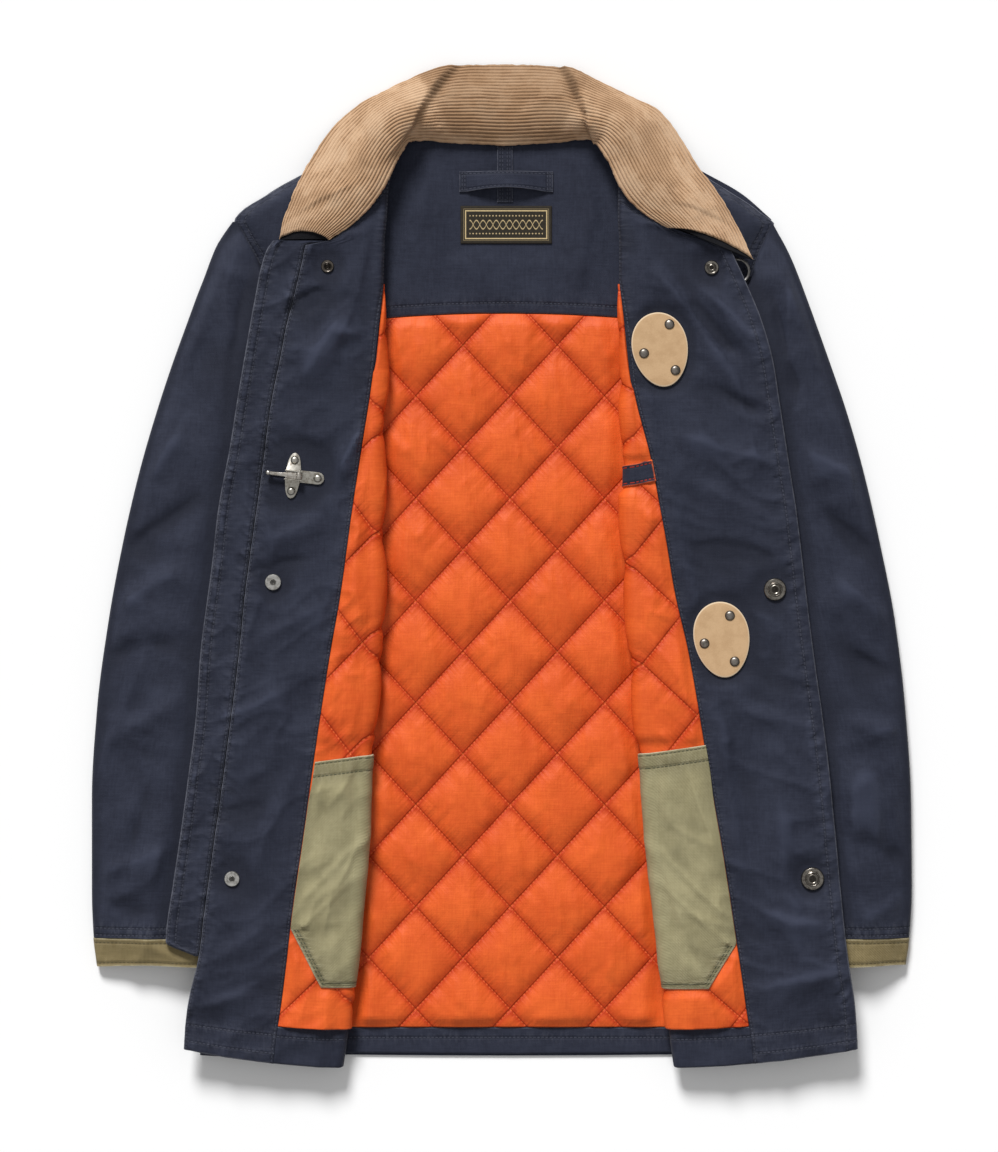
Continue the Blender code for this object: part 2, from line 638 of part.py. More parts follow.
def tilted(points, rise):
    """Lift a row of points evenly up the front towards its last point."""
    last = len(points) - 1
    return [(x, y + rise * k / last, z) for k, (x, y, z) in enumerate(points)]


def pocket(side):
    outer, inner = [], []
    base = CLOTH + LINING_GAP + FRONT_LINING_FLAT + SEAM
    for row in POCKET_ROWS[side]:
        rail = Rail(side, row.y)
        end = pocket_end(side, rail, row.y)
        columns = fold_columns(rail, rail.bend * POCKET_START, end, 3, 4)
        tilt = POCKET_TILT[side] if row in POCKET_ROWS[side][-POCKET_TOP_ROWS:] else 0.0
        low = [rail.point(c, base + slack(rail, c)) for c in columns]
        high = [rail.point(c, base + CLOTH + slack(rail, c)) for c in columns]
        inner.append(tilted(low, tilt))
        outer.append(tilted(high, tilt))
    return closed_wall(f"pocket_{side}", outer, inner, "olive")


def front_facing(side):
    outer, inner = [], []
    heights = [y for y in HEIGHTS if y != HEIGHTS[-1]]
    for y in heights:
        rail = Rail(side, y)
        start = rail.facing
        columns = fold_columns(rail, start, rail.end, 2, 2) if start < rail.bend - 1 else [
            start + (rail.end - start) * k / 4 for k in range(5)]
        inner.append([rail.point(c, CLOTH + SEAM + slack(rail, c)) for c in columns])
        outer.append([rail.point(c, CLOTH + SEAM + FACING + slack(rail, c)) for c in columns])
    return closed_wall(f"front_facing_{side}", outer, inner, "navy_inside")


def front_hem(side):
    outer, inner = [], []
    for y in (HEIGHTS[0] + SEAM, HEIGHTS[1], HEM_TOP - SEAM):
        rail = Rail(side, y)
        columns = [-HEM_TURNED, -HEM_TURNED / 3] + fold_columns(rail, 0, rail.lining_end, 4, 3)
        inner.append([rail.point(c, CLOTH + SEAM + slack(rail, c)) for c in columns])
        outer.append([rail.point(c, CLOTH + SEAM + FACING + slack(rail, c)) for c in columns])
    return closed_wall(f"front_hem_{side}", outer, inner, "navy_inside")


def placket_strip():
    side = "right"
    outer, inner = [], []
    bottom, corner, top = PLACKET_ROWS[0].y, PLACKET_ROWS[1].y, PLACKET_ROWS[-1].y
    for y in [bottom, corner] + [h for h in HEIGHTS if corner < h < top]:
        rail = Rail(side, y)
        start = rail.end + SEAM
        stop = rail.length_at(smooth(PLACKET_ROWS, "outer", y))
        columns = [start + (stop - start) * k / 3 for k in range(4)]
        low, high = [], []
        for k, c in enumerate(columns):
            soft = PLACKET_ROUND if k in (0, 3) else 0.0
            low.append(rail.point(c, 0.0))
            high.append(rail.point(c, PLACKET_THICK - soft))
        inner.append(low)
        outer.append(high)
    return closed_wall("placket_strip", outer, inner, "navy")


def breast_welt():
    side = "left"
    outer, inner = [], []
    for y in (WELT["y0"], (WELT["y0"] + WELT["y1"]) / 2, WELT["y1"]):
        rail = Rail(side, y)
        base = CLOTH + LINING_GAP + FRONT_LINING_FLAT + SEAM
        columns = fold_columns(rail, rail.bend * WELT["start"], rail.lining_end - SEAM, 3, 3)
        low = [rail.point(c, base + slack(rail, c)) for c in columns]
        high = [rail.point(c, base + THIN + slack(rail, c)) for c in columns]
        inner.append(tilted(low, WELT["tilt"]))
        outer.append(tilted(high, WELT["tilt"]))
    return closed_wall("breast_welt", outer, inner, "navy_inside")


# ---------------------------------------------------------------- back panels

def yoke_edge(x):
    """The seam between the yoke facing and the lining, a little lower towards its ends."""
    return YOKE_EDGE - YOKE_EDGE_DROP * min(1.0, (x / 100.0) ** 2)


def back_pieces():
    plate("back_outer", mirrored(BACK_HALF), 0.0, CLOTH, "navy")
    yoke = YOKE_HALF + [Point(x, yoke_edge(x)) for x in YOKE_BOTTOM_XS]
    plate("back_yoke_facing", mirrored(yoke), CLOTH + SEAM, CLOTH, "navy_inside")
    half, bottom, top = BACK_HEM["half"], BACK_HEM["bottom"], BACK_LINING_BOTTOM - SEAM
    end = bottom + BACK_HEM["rise"]
    hem = [(-half, top), (-half, end), (0, bottom), (half, end), (half, top)]
    plate("back_hem", hem, CLOTH + SEAM, CLOTH, "navy_inside")
    back_lining()


def back_lining():
    """Quilted where it shows between the fronts, plain towards the side seams."""
    across = QUILT_HALF_WIDTH / 3
    along = QUILT_HALF_HEIGHT / 3
    count = round(BACK_HALF_LINING / across)
    xs = [BACK_LATTICE.u + across * k for k in range(-count, count + 1)]
    first = math.ceil((BACK_LINING_BOTTOM + QUILT_CLEAR - BACK_LATTICE.y) / along)
    last = math.floor((YOKE_EDGE - YOKE_EDGE_DROP - QUILT_CLEAR - BACK_LATTICE.y) / along)
    ys = [BACK_LINING_BOTTOM] + [BACK_LATTICE.y + along * k for k in range(first, last + 1)]
    base = CLOTH + SEAM
    bm = bmesh.new()
    grid = []
    for i, y in enumerate(ys + [None]):
        side_x = smooth(FRONT_ROWS["right"], "side", YOKE_EDGE if y is None else y)
        reach = side_x - BACK_SIDE_MARGIN
        row = []
        for x in [-reach] + xs + [reach]:
            here = yoke_edge(x) - YOKE_SEAM if y is None else y
            full = puffed(BACK_LATTICE, x, here)
            rim = i == 0 or y is None or abs(x) == reach
            height = BACK_LINING_FLAT + (0.0 if rim else BACK_PUFF * full)
            row.append(bm.verts.new(Vector((x, here, base + height)) * MM))
        grid.append(row)
    for i in range(len(grid) - 1):
        for j in range(len(grid[0]) - 1):
            quad(bm, grid[i][j], grid[i][j + 1], grid[i + 1][j + 1], grid[i + 1][j])
    rim = (grid[0] + [row[-1] for row in grid[1:]] + grid[-1][-2::-1]
           + [row[0] for row in grid[-2:0:-1]])
    floor = [bm.verts.new((v.co.x, v.co.y, base * MM)) for v in rim]
    for k in range(len(rim)):
        n = (k + 1) % len(rim)
        bm.faces.new((rim[n], rim[k], floor[k], floor[n]))
    bm.faces.new(floor[::-1])
    bmesh.ops.recalc_face_normals(bm, faces=bm.faces)
    add_object("back_lining", mesh_from("back_lining", bm), "orange")


# ---------------------------------------------------------------- sleeves

def sleeve_ring(side, y, grow=0.0):
    """The outer and inner points of a flattened sleeve at one height."""
    rows = SLEEVE_ROWS[side]
    outer_x, inner_x = smooth(rows, "outer", y) + grow, smooth(rows, "inner", y)
    low_in, high_in = smooth(rows, "low", y), smooth(rows, "high", y)
    high_out = smooth(rows, "outer_high", y)
    body = smooth(FRONT_ROWS[side], "side", y)
    width = outer_x - inner_x
    turn = min(SLEEVE_TURN, width / 5)
    first, last = inner_x + turn, outer_x - turn
    span = last - first
    step = min(max(body + SLEEVE_CLEAR, first + span / 5), last - span / 5)
    ramp = min(SLEEVE_STEP, (last - step) * 0.6)
    flap = smooth(FRONT_ROWS[side], "edge", y)
    if side == "right":
        flap = smooth(PLACKET_ROWS, "outer", y)
    crest = min(SLEEVE_CREST[1], max(SLEEVE_CREST[0], (flap + FLAP_CLEAR - inner_x) / width))

    def low(x):
        return low_in * min(1.0, max(0.0, (step + ramp - x) / ramp))

    def high(x):
        t = (x - inner_x) / width
        fall = max(0.0, (t - crest) / (1 - crest))
        return high_in + (high_out - high_in) * (3 * fall**2 - 2 * fall**3)

    wall = min(SLEEVE_WALL, width / 6)
    xs = [first, (first + step) / 2, step, step + ramp / 2, step + ramp,
          (step + ramp + last) / 2, last]
    inset = wall + turn * 0.6
    nearest, farthest = inner_x + inset + turn * 0.3, outer_x - inset - turn * 0.3
    inside = [nearest + (x - first) * (farthest - nearest) / span for x in xs]
    mid_in = (low(inner_x) + high(inner_x)) / 2
    mid_out = high(outer_x) / 2
    sign = SIGN[side]
    ring = [(sign * inner_x, y, mid_in)]
    ring += [(sign * x, y, low(x)) for x in xs]
    ring += [(sign * outer_x, y, mid_out)]
    ring += [(sign * x, y, high(x) + grow) for x in xs[::-1]]
    hollow = [(sign * (inner_x + inset), y, mid_in)]
    hollow += [(sign * x, y, low(x) + wall) for x in inside]
    hollow += [(sign * (outer_x - inset), y, mid_out)]
    hollow += [(sign * x, y, max(high(x) - wall, low(x) + wall + SLEEVE_LEAST))
               for x in inside[::-1]]
    return ring, hollow


def sleeves():
    for side in ("right", "left"):
        heights = SLEEVE_HEIGHTS + [SLEEVE_ROWS[side][-1].y]
        rings = [sleeve_ring(side, y) for y in heights]
        tube_wall(f"sleeve_{side}", [r[0] for r in rings], [r[1] for r in rings], "navy")
        rings = [sleeve_ring(side, y, grow=SEAM) for y in CUFF_HEIGHTS]
        tube_wall(f"cuff_{side}", [r[0] for r in rings], [r[1] for r in rings], "olive_brown")


# ---------------------------------------------------------------- collar

def collar_grid(columns):
    """The collar's middle surface and its normals, section by section."""
    source = np.array([list(row) for row in COLLAR_ROWS], float)
    places = np.linspace(0, len(source) - 1, COLLAR_SECTIONS)
    rows = np.array([[np.interp(p, range(len(source)), source[:, c]) for c in range(7)]
                     for p in places])
    grid = np.zeros((COLLAR_SECTIONS, len(columns), 3))
    for i, (ax, ay, az, bx, by, bz, arch) in enumerate(rows):
        for j, v in enumerate(columns):
            grid[i, j] = (ax + (bx - ax) * v, ay + (by - ay) * v,
                          az + (bz - az) * v + arch * math.sin(math.pi * v**ARCH_POWER))
    across = np.gradient(grid, axis=1)
    run = np.hypot(across[:, :, 0], across[:, :, 1])
    normals = np.stack([-across[:, :, 2] * across[:, :, 0] / run,
                        -across[:, :, 2] * across[:, :, 1] / run, run], axis=2)
    return grid, normals / np.linalg.norm(normals, axis=2, keepdims=True)


def collar():
    columns = np.linspace(0, 1, 2 * WALES + 1)
    grid, normals = collar_grid(columns)
    ridge = np.where(np.arange(len(columns)) % 2 == 1, WALE_RISE, 0.0)
    outer = grid + normals * (COLLAR_TOP + ridge)[None, :, None]
    plain = list(range(0, 2 * WALES + 1, COLLAR_STRIDE))
    closed_wall("collar_top", outer.tolist(), grid.tolist(), "corduroy", kept=plain)
    grid, normals = collar_grid(np.linspace(0, 1, 2 * WALES // COLLAR_STRIDE + 1))
    outer = grid - normals * 2 * SEAM
    inner = grid - normals * (2 * SEAM + COLLAR_UNDER)
    closed_wall("collar_under", outer.tolist(), inner.tolist(), "navy",
                kept=list(range(0, len(outer[0]), 2)))


# ---------------------------------------------------------------- neck trims

def neck_trims():
    base = 2 * CLOTH + 2 * SEAM
    box("loop_tape", TAPE, base, THIN, "navy_inside")
    box("neck_label", LABEL, base, THIN, "label")
    length = LOOP["x1"] - LOOP["x0"]
    clear = LOOP["stitched"] / length
    low, high = [], []
    for y in (LOOP["y0"], LOOP["y1"]):
        lows, highs = [], []
        for k in range(LOOP_STEPS + 1):
            t = k / LOOP_STEPS
            x = LOOP["x0"] + length * t
            free = min(1.0, max(0.0, (t - clear) / (1 - 2 * clear)))
            rise = LOOP["rise"] * math.sin(math.pi * free)
            lows.append((x, y, base + rise))
            highs.append((x, y, base + CLOTH + rise))
        low.append(lows)
        high.append(highs)
    closed_wall("hanger_loop", high, low, "navy")


def box(name, size, z, thick, finish):
    bm = bmesh.new()
    bmesh.ops.create_cube(bm, size=1.0)
    bmesh.ops.scale(bm, vec=Vector((size["x1"] - size["x0"], size["y1"] - size["y0"], thick)) * MM,
                    verts=bm.verts)
    middle = Vector(((size["x0"] + size["x1"]) / 2, (size["y0"] + size["y1"]) / 2, z + thick / 2))
    bmesh.ops.translate(bm, vec=middle * MM, verts=bm.verts)
    return add_object(name, mesh_from(name, bm), finish)


# ---------------------------------------------------------------- metal and leather

def facing_top(side, y):
    """The height of the folded-back facing, which is level beyond the fold."""
    return Rail(side, y).at(FAR_OUT, CLOTH + SEAM + FACING)[1]


def turned(name, profile, location, finish, steps=12):
    """A round piece, its profile given from the top of the rim down to the base."""
    mesh = bpy.data.meshes.new(name)
    verts = [(r * MM, 0, z * MM) for r, z in profile]
    mesh.from_pydata(verts, [(k, k + 1) for k in range(len(verts) - 1)], [])
    obj = add_object(name, mesh, finish)
    screw = obj.modifiers.new("Turn", "SCREW")
    screw.steps = steps
    screw.render_steps = steps
    screw.use_merge_vertices = True
    screw.merge_threshold = 0.00001
    obj.location = Vector(location) * MM
    return obj


def snaps():
    for snap in SNAPS:
        top = facing_top(snap.side, snap.y) + SEAM
        profile = [(ring.across * snap.radius, ring.up * snap.rise)
                   for ring in SNAP_PROFILES[snap.style]]
        profile += [(snap.radius, SNAP_LIP), (snap.radius, 0), (0, 0)]
        turned(snap.name, profile, (SIGN[snap.side] * snap.x, snap.y, top),
               SNAP_FINISH[snap.style])


def rivet(name, radius, location, finish):
    profile = [(ring.across * radius, ring.up) for ring in RIVET_PROFILE]
    return turned(name, profile, location, finish)


def patches():
    for patch in PATCHES:
        base = facing_top("left", patch.y) + patch.seat
        lean = math.radians(patch.lean)
        outline = []
        for k in range(PATCH_STEPS):
            a = 2 * math.pi * k / PATCH_STEPS
            x = patch.half_width * math.cos(a) * (1 + PATCH_EGG * math.sin(a))
            y = patch.half_height * math.sin(a)
            outline.append((patch.x + x * math.cos(lean) - y * math.sin(lean),
                            patch.y + x * math.sin(lean) + y * math.cos(lean)))
        obj = plate(patch.name, outline, base, PATCH_THICK, "suede")
        for n, (x, y) in enumerate(patch.rivets, 1):
            spot = (x, y, base + PATCH_THICK + SEAM)
            rivet(f"{patch.name}_rivet_{n}", RIVET_RADIUS, spot, "gunmetal").parent = obj


def clasp_frame():
    base = facing_top("right", CLASP_Y) + SEAM
    return Matrix.Translation(Vector((CLASP_X, CLASP_Y, base)) * MM) @ Matrix.Rotation(
        CLASP_TURN, 4, "Z")


def lobe(cx, cy, radius, start, end, steps=6):
    return [(cx + radius * math.cos(math.radians(start + (end - start) * k / steps)),
             cy + radius * math.sin(math.radians(start + (end - start) * k / steps)))
            for k in range(steps + 1)]


def cylinder_between(bm, start, end, radius, segments=14):
    start, end = Vector(start), Vector(end)
    span = end - start
    turn = span.to_track_quat("Z", "Y").to_matrix().to_4x4()
    bmesh.ops.create_cone(bm, cap_ends=True, segments=segments, radius1=radius, radius2=radius,
                          depth=span.length, matrix=Matrix.Translation((start + end) / 2) @ turn)


def add_cutter(name, mesh, finish):
    cutter = add_object(name, mesh, finish, cutters)
    cutter.hide_render = True
    cutter.display_type = "WIRE"
    return cutter


def joined(name, pieces, finish):
    """Join closed shapes, each built by a function on its own bmesh, into one solid."""
    base = None
    for k, build in enumerate(pieces):
        bm = bmesh.new()
        build(bm)
        bmesh.ops.scale(bm, vec=(MM, MM, MM), verts=bm.verts)
        bmesh.ops.recalc_face_normals(bm, faces=bm.faces)
        mesh = mesh_from(f"{name}_{k}", bm)
        if base is None:
            base = add_object(name, mesh, finish)
            continue
        other = add_cutter(f"{name}_add_{k}", mesh, finish)
        union = base.modifiers.new(f"Join {k}", "BOOLEAN")
        union.operation = "UNION"
        union.solver = "EXACT"
        union.object = other
    return base


def place(obj, matrix):
    obj.matrix_world = matrix
    for modifier in obj.modifiers:
        if modifier.type == "BOOLEAN":
            modifier.object.matrix_world = matrix


def prism(outline, z0, z1):
    """A function that builds an upright prism on an outline."""
    def build(bm):
        base = [bm.verts.new((x, y, z0)) for x, y in outline]
        face = bm.faces.new(base)
        made = bmesh.ops.extrude_face_region(bm, geom=[face])
        bmesh.ops.translate(bm, vec=(0, 0, z1 - z0),
                            verts=[v for v in made["geom"] if isinstance(v, bmesh.types.BMVert)])
    return build


def bar(x0, x1, y0, y1, z0, z1):
    return prism([(x0, y0), (x1, y0), (x1, y1), (x0, y1)], z0, z1)


def clasp():
    frame = clasp_frame()
    ear_in = EAR["y"] - EAR["thick"]
    ear_top = PIN["z"] + EAR["above_pin"]
    sunk = CLASP_PLATE / 2
    upright = (lobe(0, UPRIGHT["end"], UPRIGHT["radius"], 0, 180)
               + lobe(0, -UPRIGHT["end"], UPRIGHT["radius"], 180, 360))
    arm = lobe(ARM["end"], 0, ARM["radius"], -90, 90)
    arm += [(ARM["start"], ARM["radius"]), (ARM["start"], -ARM["radius"])]
    tip, half, tip_half = HOOK["end"], HOOK["half"], HOOK["tip_half"]
    hook = [(ARM["start"], half), (tip, tip_half), (tip, -tip_half), (ARM["start"], -half)]

    def pin(bm):
        reach = EAR["y"] + PIN["past_ear"]
        cylinder_between(bm, (PIN["x"], -reach, PIN["z"]), (PIN["x"], reach, PIN["z"]),
                         PIN["radius"])

    base = joined("clasp_plate", [
        prism(upright, 0, CLASP_PLATE),
        prism(arm, 0, CLASP_PLATE),
        bar(EAR["x0"], EAR["x1"], ear_in, EAR["y"], sunk, ear_top),
        bar(EAR["x0"], EAR["x1"], -EAR["y"], -ear_in, sunk, ear_top),
        prism(hook, SEAM, CLASP_PLATE),
        bar(tip, tip + HOOK["lip"], -tip_half, tip_half, sunk, HOOK["top"]),
        pin,
    ], "nickel")
    place(base, frame)
    for n, (x, y) in enumerate(CLASP_RIVETS, 1):
        spot = frame @ (Vector((x, y, CLASP_PLATE + SEAM)) * MM)
        rivet(f"clasp_rivet_{n}", CLASP_RIVET_RADIUS, spot / MM, "nickel")
    place(lever(ear_in - LEVER["play"]),
          frame @ Matrix.Translation(Vector((PIN["x"], 0, PIN["z"])) * MM))


def lever(half):
    """The clasp's lever about its own pin, half its width given; the ball end points to -X."""
    across = [(LEVER["heel"], half), (LEVER["knee"], half), (LEVER["neck"], LEVER["neck_half"]),
              (LEVER["tip"], LEVER["tip_half"])]
    outline = across + [(x, -y) for x, y in across[::-1]]

    def hub(bm):
        cylinder_between(bm, (0, -half, 0), (0, half, 0), LEVER["bore"] + LEVER["wall"], 16)

    def ball(bm):
        middle = Vector((LEVER["tip"] - LEVER["ball"] / 2, 0, 0))
        bmesh.ops.create_uvsphere(bm, u_segments=12, v_segments=8, radius=LEVER["ball"],
                                  matrix=Matrix.Translation(middle))

    obj = joined("clasp_lever",
                 [hub, prism(outline, -LEVER["half_thick"], LEVER["half_thick"]), ball], "nickel")
    bm = bmesh.new()
    cylinder_between(bm, (0, -EAR["y"] * 2, 0), (0, EAR["y"] * 2, 0), LEVER["bore"], 16)
    bmesh.ops.scale(bm, vec=(MM, MM, MM), verts=bm.verts)
    bore = add_cutter("clasp_bore", mesh_from("clasp_bore", bm), "nickel")
    cut = obj.modifiers.new("Bore", "BOOLEAN")
    cut.operation = "DIFFERENCE"
    cut.solver = "EXACT"
    cut.object = bore
    return obj


def edge_ring():
    """A D-shaped wire ring under the left front edge, and the tab round its straight bar."""
    curve = bpy.data.curves.new("edge_ring", "CURVE")
    curve.dimensions = "3D"
    curve.bevel_depth = RING["wire"] * MM
    curve.bevel_resolution = 2
    spline = curve.splines.new("POLY")
    r, s = RING["radius"], RING["straight"]
    points = [(-s, -r + 2), (-s, r - 2)] + lobe(0, 0, r, 110, -110, 10)
    spline.points.add(len(points) - 1)
    for point, (x, y) in zip(spline.points, points):
        drop = RING["tip_drop"] * max(0.0, x) / r
        point.co = ((RING["x"] + x) * MM, (RING["y"] + y) * MM, (RING["z"] - drop) * MM, 1)
    spline.use_cyclic_u = True
    obj = bpy.data.objects.new("edge_ring", curve)
    obj.data.materials.append(material("gunmetal"))
    parts.objects.link(obj)
    ring_tab(RING["x"] - s)


def ring_tab(bar_x):
    """A strap of cloth led round the ring's straight bar and in under the front edge."""
    wire_clear = RING["wire"] + SEAM
    path = [(-RING_TAB["reach"], -wire_clear), (-1.0, -wire_clear)]
    path += [(wire_clear * math.sin(a), -wire_clear * math.cos(a))
             for a in np.linspace(math.pi / 6, math.pi * 5 / 6, 5)]
    path += [(-1.0, wire_clear), (-RING_TAB["reach"], wire_clear)]
    inner, outer = [], []
    for y in (RING["y"] - RING_TAB["half"], RING["y"] + RING_TAB["half"]):
        lows, highs = [], []
        for x, h in path:
            length = math.hypot(max(x, 0.0), h)
            grow = (length + RING_TAB["thick"]) / length
            lows.append((bar_x + x, y, RING["z"] + h))
            highs.append((bar_x + (x * grow if x > 0 else x), y, RING["z"] + h * grow))
        inner.append(lows)
        outer.append(highs)
    closed_wall("edge_ring_tab", outer, inner, "navy")


def main():
    clear_scene()
    bpy.context.scene.collection.children.link(parts)
    bpy.context.scene.collection.children.link(cutters)
    back_pieces()
    for side in ("right", "left"):
        front_outer(side)
        front_lining(side)
        front_facing(side)
        front_hem(side)
        pocket(side)
    placket_strip()
    breast_welt()
    sleeves()
    collar()
    neck_trims()
    snaps()
    patches()
    clasp()
    edge_ring()


main()
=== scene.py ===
"""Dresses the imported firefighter's jacket in canvas, quilting, corduroy, suede and metal.

The jacket lies on its back with both fronts folded outwards. The wearer's right is on -X and the
collar towards +Y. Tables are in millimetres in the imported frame, and each front counts its x
outwards from the centre line, so both sides share every function.
"""
import logging
import math
from dataclasses import dataclass
from enum import Enum
from typing import Any, Callable, Sequence

import bmesh
import bpy
import numpy as np
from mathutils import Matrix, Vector


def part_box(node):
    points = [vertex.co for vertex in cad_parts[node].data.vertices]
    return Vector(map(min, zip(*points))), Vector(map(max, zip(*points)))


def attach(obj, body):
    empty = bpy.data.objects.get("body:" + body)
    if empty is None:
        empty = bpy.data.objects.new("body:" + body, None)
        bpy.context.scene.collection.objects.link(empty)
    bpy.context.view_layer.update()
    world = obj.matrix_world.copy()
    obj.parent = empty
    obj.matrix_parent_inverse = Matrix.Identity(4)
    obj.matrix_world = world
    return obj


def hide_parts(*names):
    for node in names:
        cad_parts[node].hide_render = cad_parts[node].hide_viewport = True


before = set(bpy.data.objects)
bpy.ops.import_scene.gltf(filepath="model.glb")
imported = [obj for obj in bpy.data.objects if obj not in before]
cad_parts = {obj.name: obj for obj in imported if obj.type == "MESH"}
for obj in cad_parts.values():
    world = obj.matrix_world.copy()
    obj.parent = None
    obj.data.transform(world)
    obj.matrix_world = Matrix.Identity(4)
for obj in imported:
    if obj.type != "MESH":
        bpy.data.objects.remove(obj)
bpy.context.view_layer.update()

LOG = logging.getLogger("jacket")
MM = 0.001
Grid = np.ndarray
Colour = tuple[float, float, float]
Charts = dict[str, tuple[Grid, Grid]]
Finishes = dict[str, bpy.types.Material]
JACKET = "jacket"

# Cloth thicknesses and the order of the layers, from the table up
CLOTH = 1.4
SEAM = 0.3
LINING_GAP = 0.5
BACK_LINING_FLAT = 1.8
FRONT_LINING_FLAT = 2.0
FACING = 1.4
FRONT_LEVEL = 11.6
EDGE_LEVEL = 3.2
FOLD_COVER = 1.0
FOLD_SEAM = 0.6
FACING_LEAST = 3.0
EDGE_RAMP = 22.0
HEM_DROP = 9.0
HEM_RISE = 16.0
HEM_BULGE = 4.0
HEM_REACH = 110.0
HEM_TOP = -384.0
HEM_TURNED = 60.0
LINING_TOP = 234.0
YOKE_EDGE = 210.6
YOKE_EDGE_DROP = 4.0
CLOTH_SHARP = math.radians(48)
TURNED_SHARP = math.radians(38)
METAL_SHARP = math.radians(40)

# Quilting: half the width and height of a diamond, and from its middle to each stitched line
QUILT_HALF_WIDTH = 39.3
QUILT_HALF_HEIGHT = 42.5
QUILT_STEP = 28.85


class Side(Enum):
    """The wearer's side of the jacket, with the sign that x takes there."""

    RIGHT = -1.0
    LEFT = 1.0

    @property
    def label(self) -> str:
        """The side's name as the nodes spell it."""
        return self.name.lower()


class Hold(Enum):
    LAID = "laid"
    FOLDED = "folded"


@dataclass(frozen=True)
class Table:
    """Sizes in millimetres at stations, read along smooth curves between them."""

    columns: str
    rows: tuple[tuple[float, ...], ...]

    def read(self, column: str, at: Grid) -> Grid:
        """Read one column.

        Args:
            column: the column's name.
            at: the stations to read it at, in the first column's terms.

        Returns:
            The column's value at each station.
        """
        data = np.array(self.rows, float)
        data = data[np.argsort(data[:, 0])]
        xs, vs = data[:, 0], data[:, self.columns.split().index(column)]
        slopes = np.diff(vs) / np.diff(xs)
        before, after = slopes[:-1], slopes[1:]
        same = before * after > 0
        bent = np.where(same, 2 * before * after / np.where(same, before + after, 1.0), 0.0)
        tangents = np.concatenate([slopes[:1], bent, slopes[-1:]])
        at = np.clip(at, xs[0], xs[-1])
        k = np.clip(np.searchsorted(xs, at, side="right") - 1, 0, len(xs) - 2)
        span = xs[k + 1] - xs[k]
        t = (at - xs[k]) / span
        return ((2 * t**3 - 3 * t**2 + 1) * vs[k] + (t**3 - 2 * t**2 + t) * span * tangents[k]
                + (3 * t**2 - 2 * t**3) * vs[k + 1] + (t**3 - t**2) * span * tangents[k + 1])


FRONTS = {
    Side.RIGHT: Table("y side fold facing edge", (
        (-416, 254, 133, 192, 266), (-396, 254, 130, 190, 265), (-369, 255, 127, 186, 262),
        (-329, 256, 122, 181, 254), (-292, 257, 118.5, 177, 249.5), (-237, 258, 114, 169, 242),
        (-159, 258, 110, 158, 231), (-80, 260, 104, 146, 221), (-22, 261, 101, 136, 215),
        (51, 256, 101.5, 126, 205), (80, 220, 102, 121.5, 201), (138, 197, 100, 112.5, 193),
        (177, 190, 99, 107, 185), (196, 190, 99, 104, 181.5), (232, 195, 99, 99, 172.5),
        (251, 202, 98.5, 98.5, 168), (266, 210, 98, 98, 164.5), (269, 212, 98, 98, 145.5),
        (280, 218, 97, 97, 131.8), (290, 223, 96, 96, 119.8), (310, 197, 95, 95, 102.8),
        (327, 167, 92, 92, 95.4), (343, 137, 88, 88, 91),
    )),
    Side.LEFT: Table("y side fold facing edge", (
        (-417, 257, 139, 206, 292), (-396, 257, 136, 204, 291), (-369, 257, 133, 200, 289),
        (-340, 257, 129.5, 196, 285), (-305, 257, 126, 191, 281), (-253, 257, 119.5, 183, 276),
        (-153, 258, 111, 166, 266), (-71, 259, 104, 152, 255), (-23, 259, 101, 141, 249),
        (24, 258, 97.5, 133, 243.5), (51, 256, 97.5, 128, 240), (86, 222, 98, 121.5, 234.5),
        (138, 201, 97, 108.5, 226.5), (167, 196, 96, 103, 222), (203, 196, 94, 98, 212),
        (237, 200, 93, 93, 198), (252, 206, 93, 93, 191), (262, 209, 93, 93, 186),
        (269, 212, 93, 93, 175), (272, 214, 93, 93, 160), (286, 220, 92, 92, 127.8),
        (296, 211, 92, 92, 111.8), (312, 187, 92, 92, 97.8), (327, 163, 90, 90, 93.4),
        (343, 137, 86, 86, 89),
    )),
}
LIFTS = Table("y lift", (
    (-417, 4.4), (-370, 6.2), (-338, 8.6), (255, 8.6), (285, 7.4), (312, 5.6), (343, 4),
))
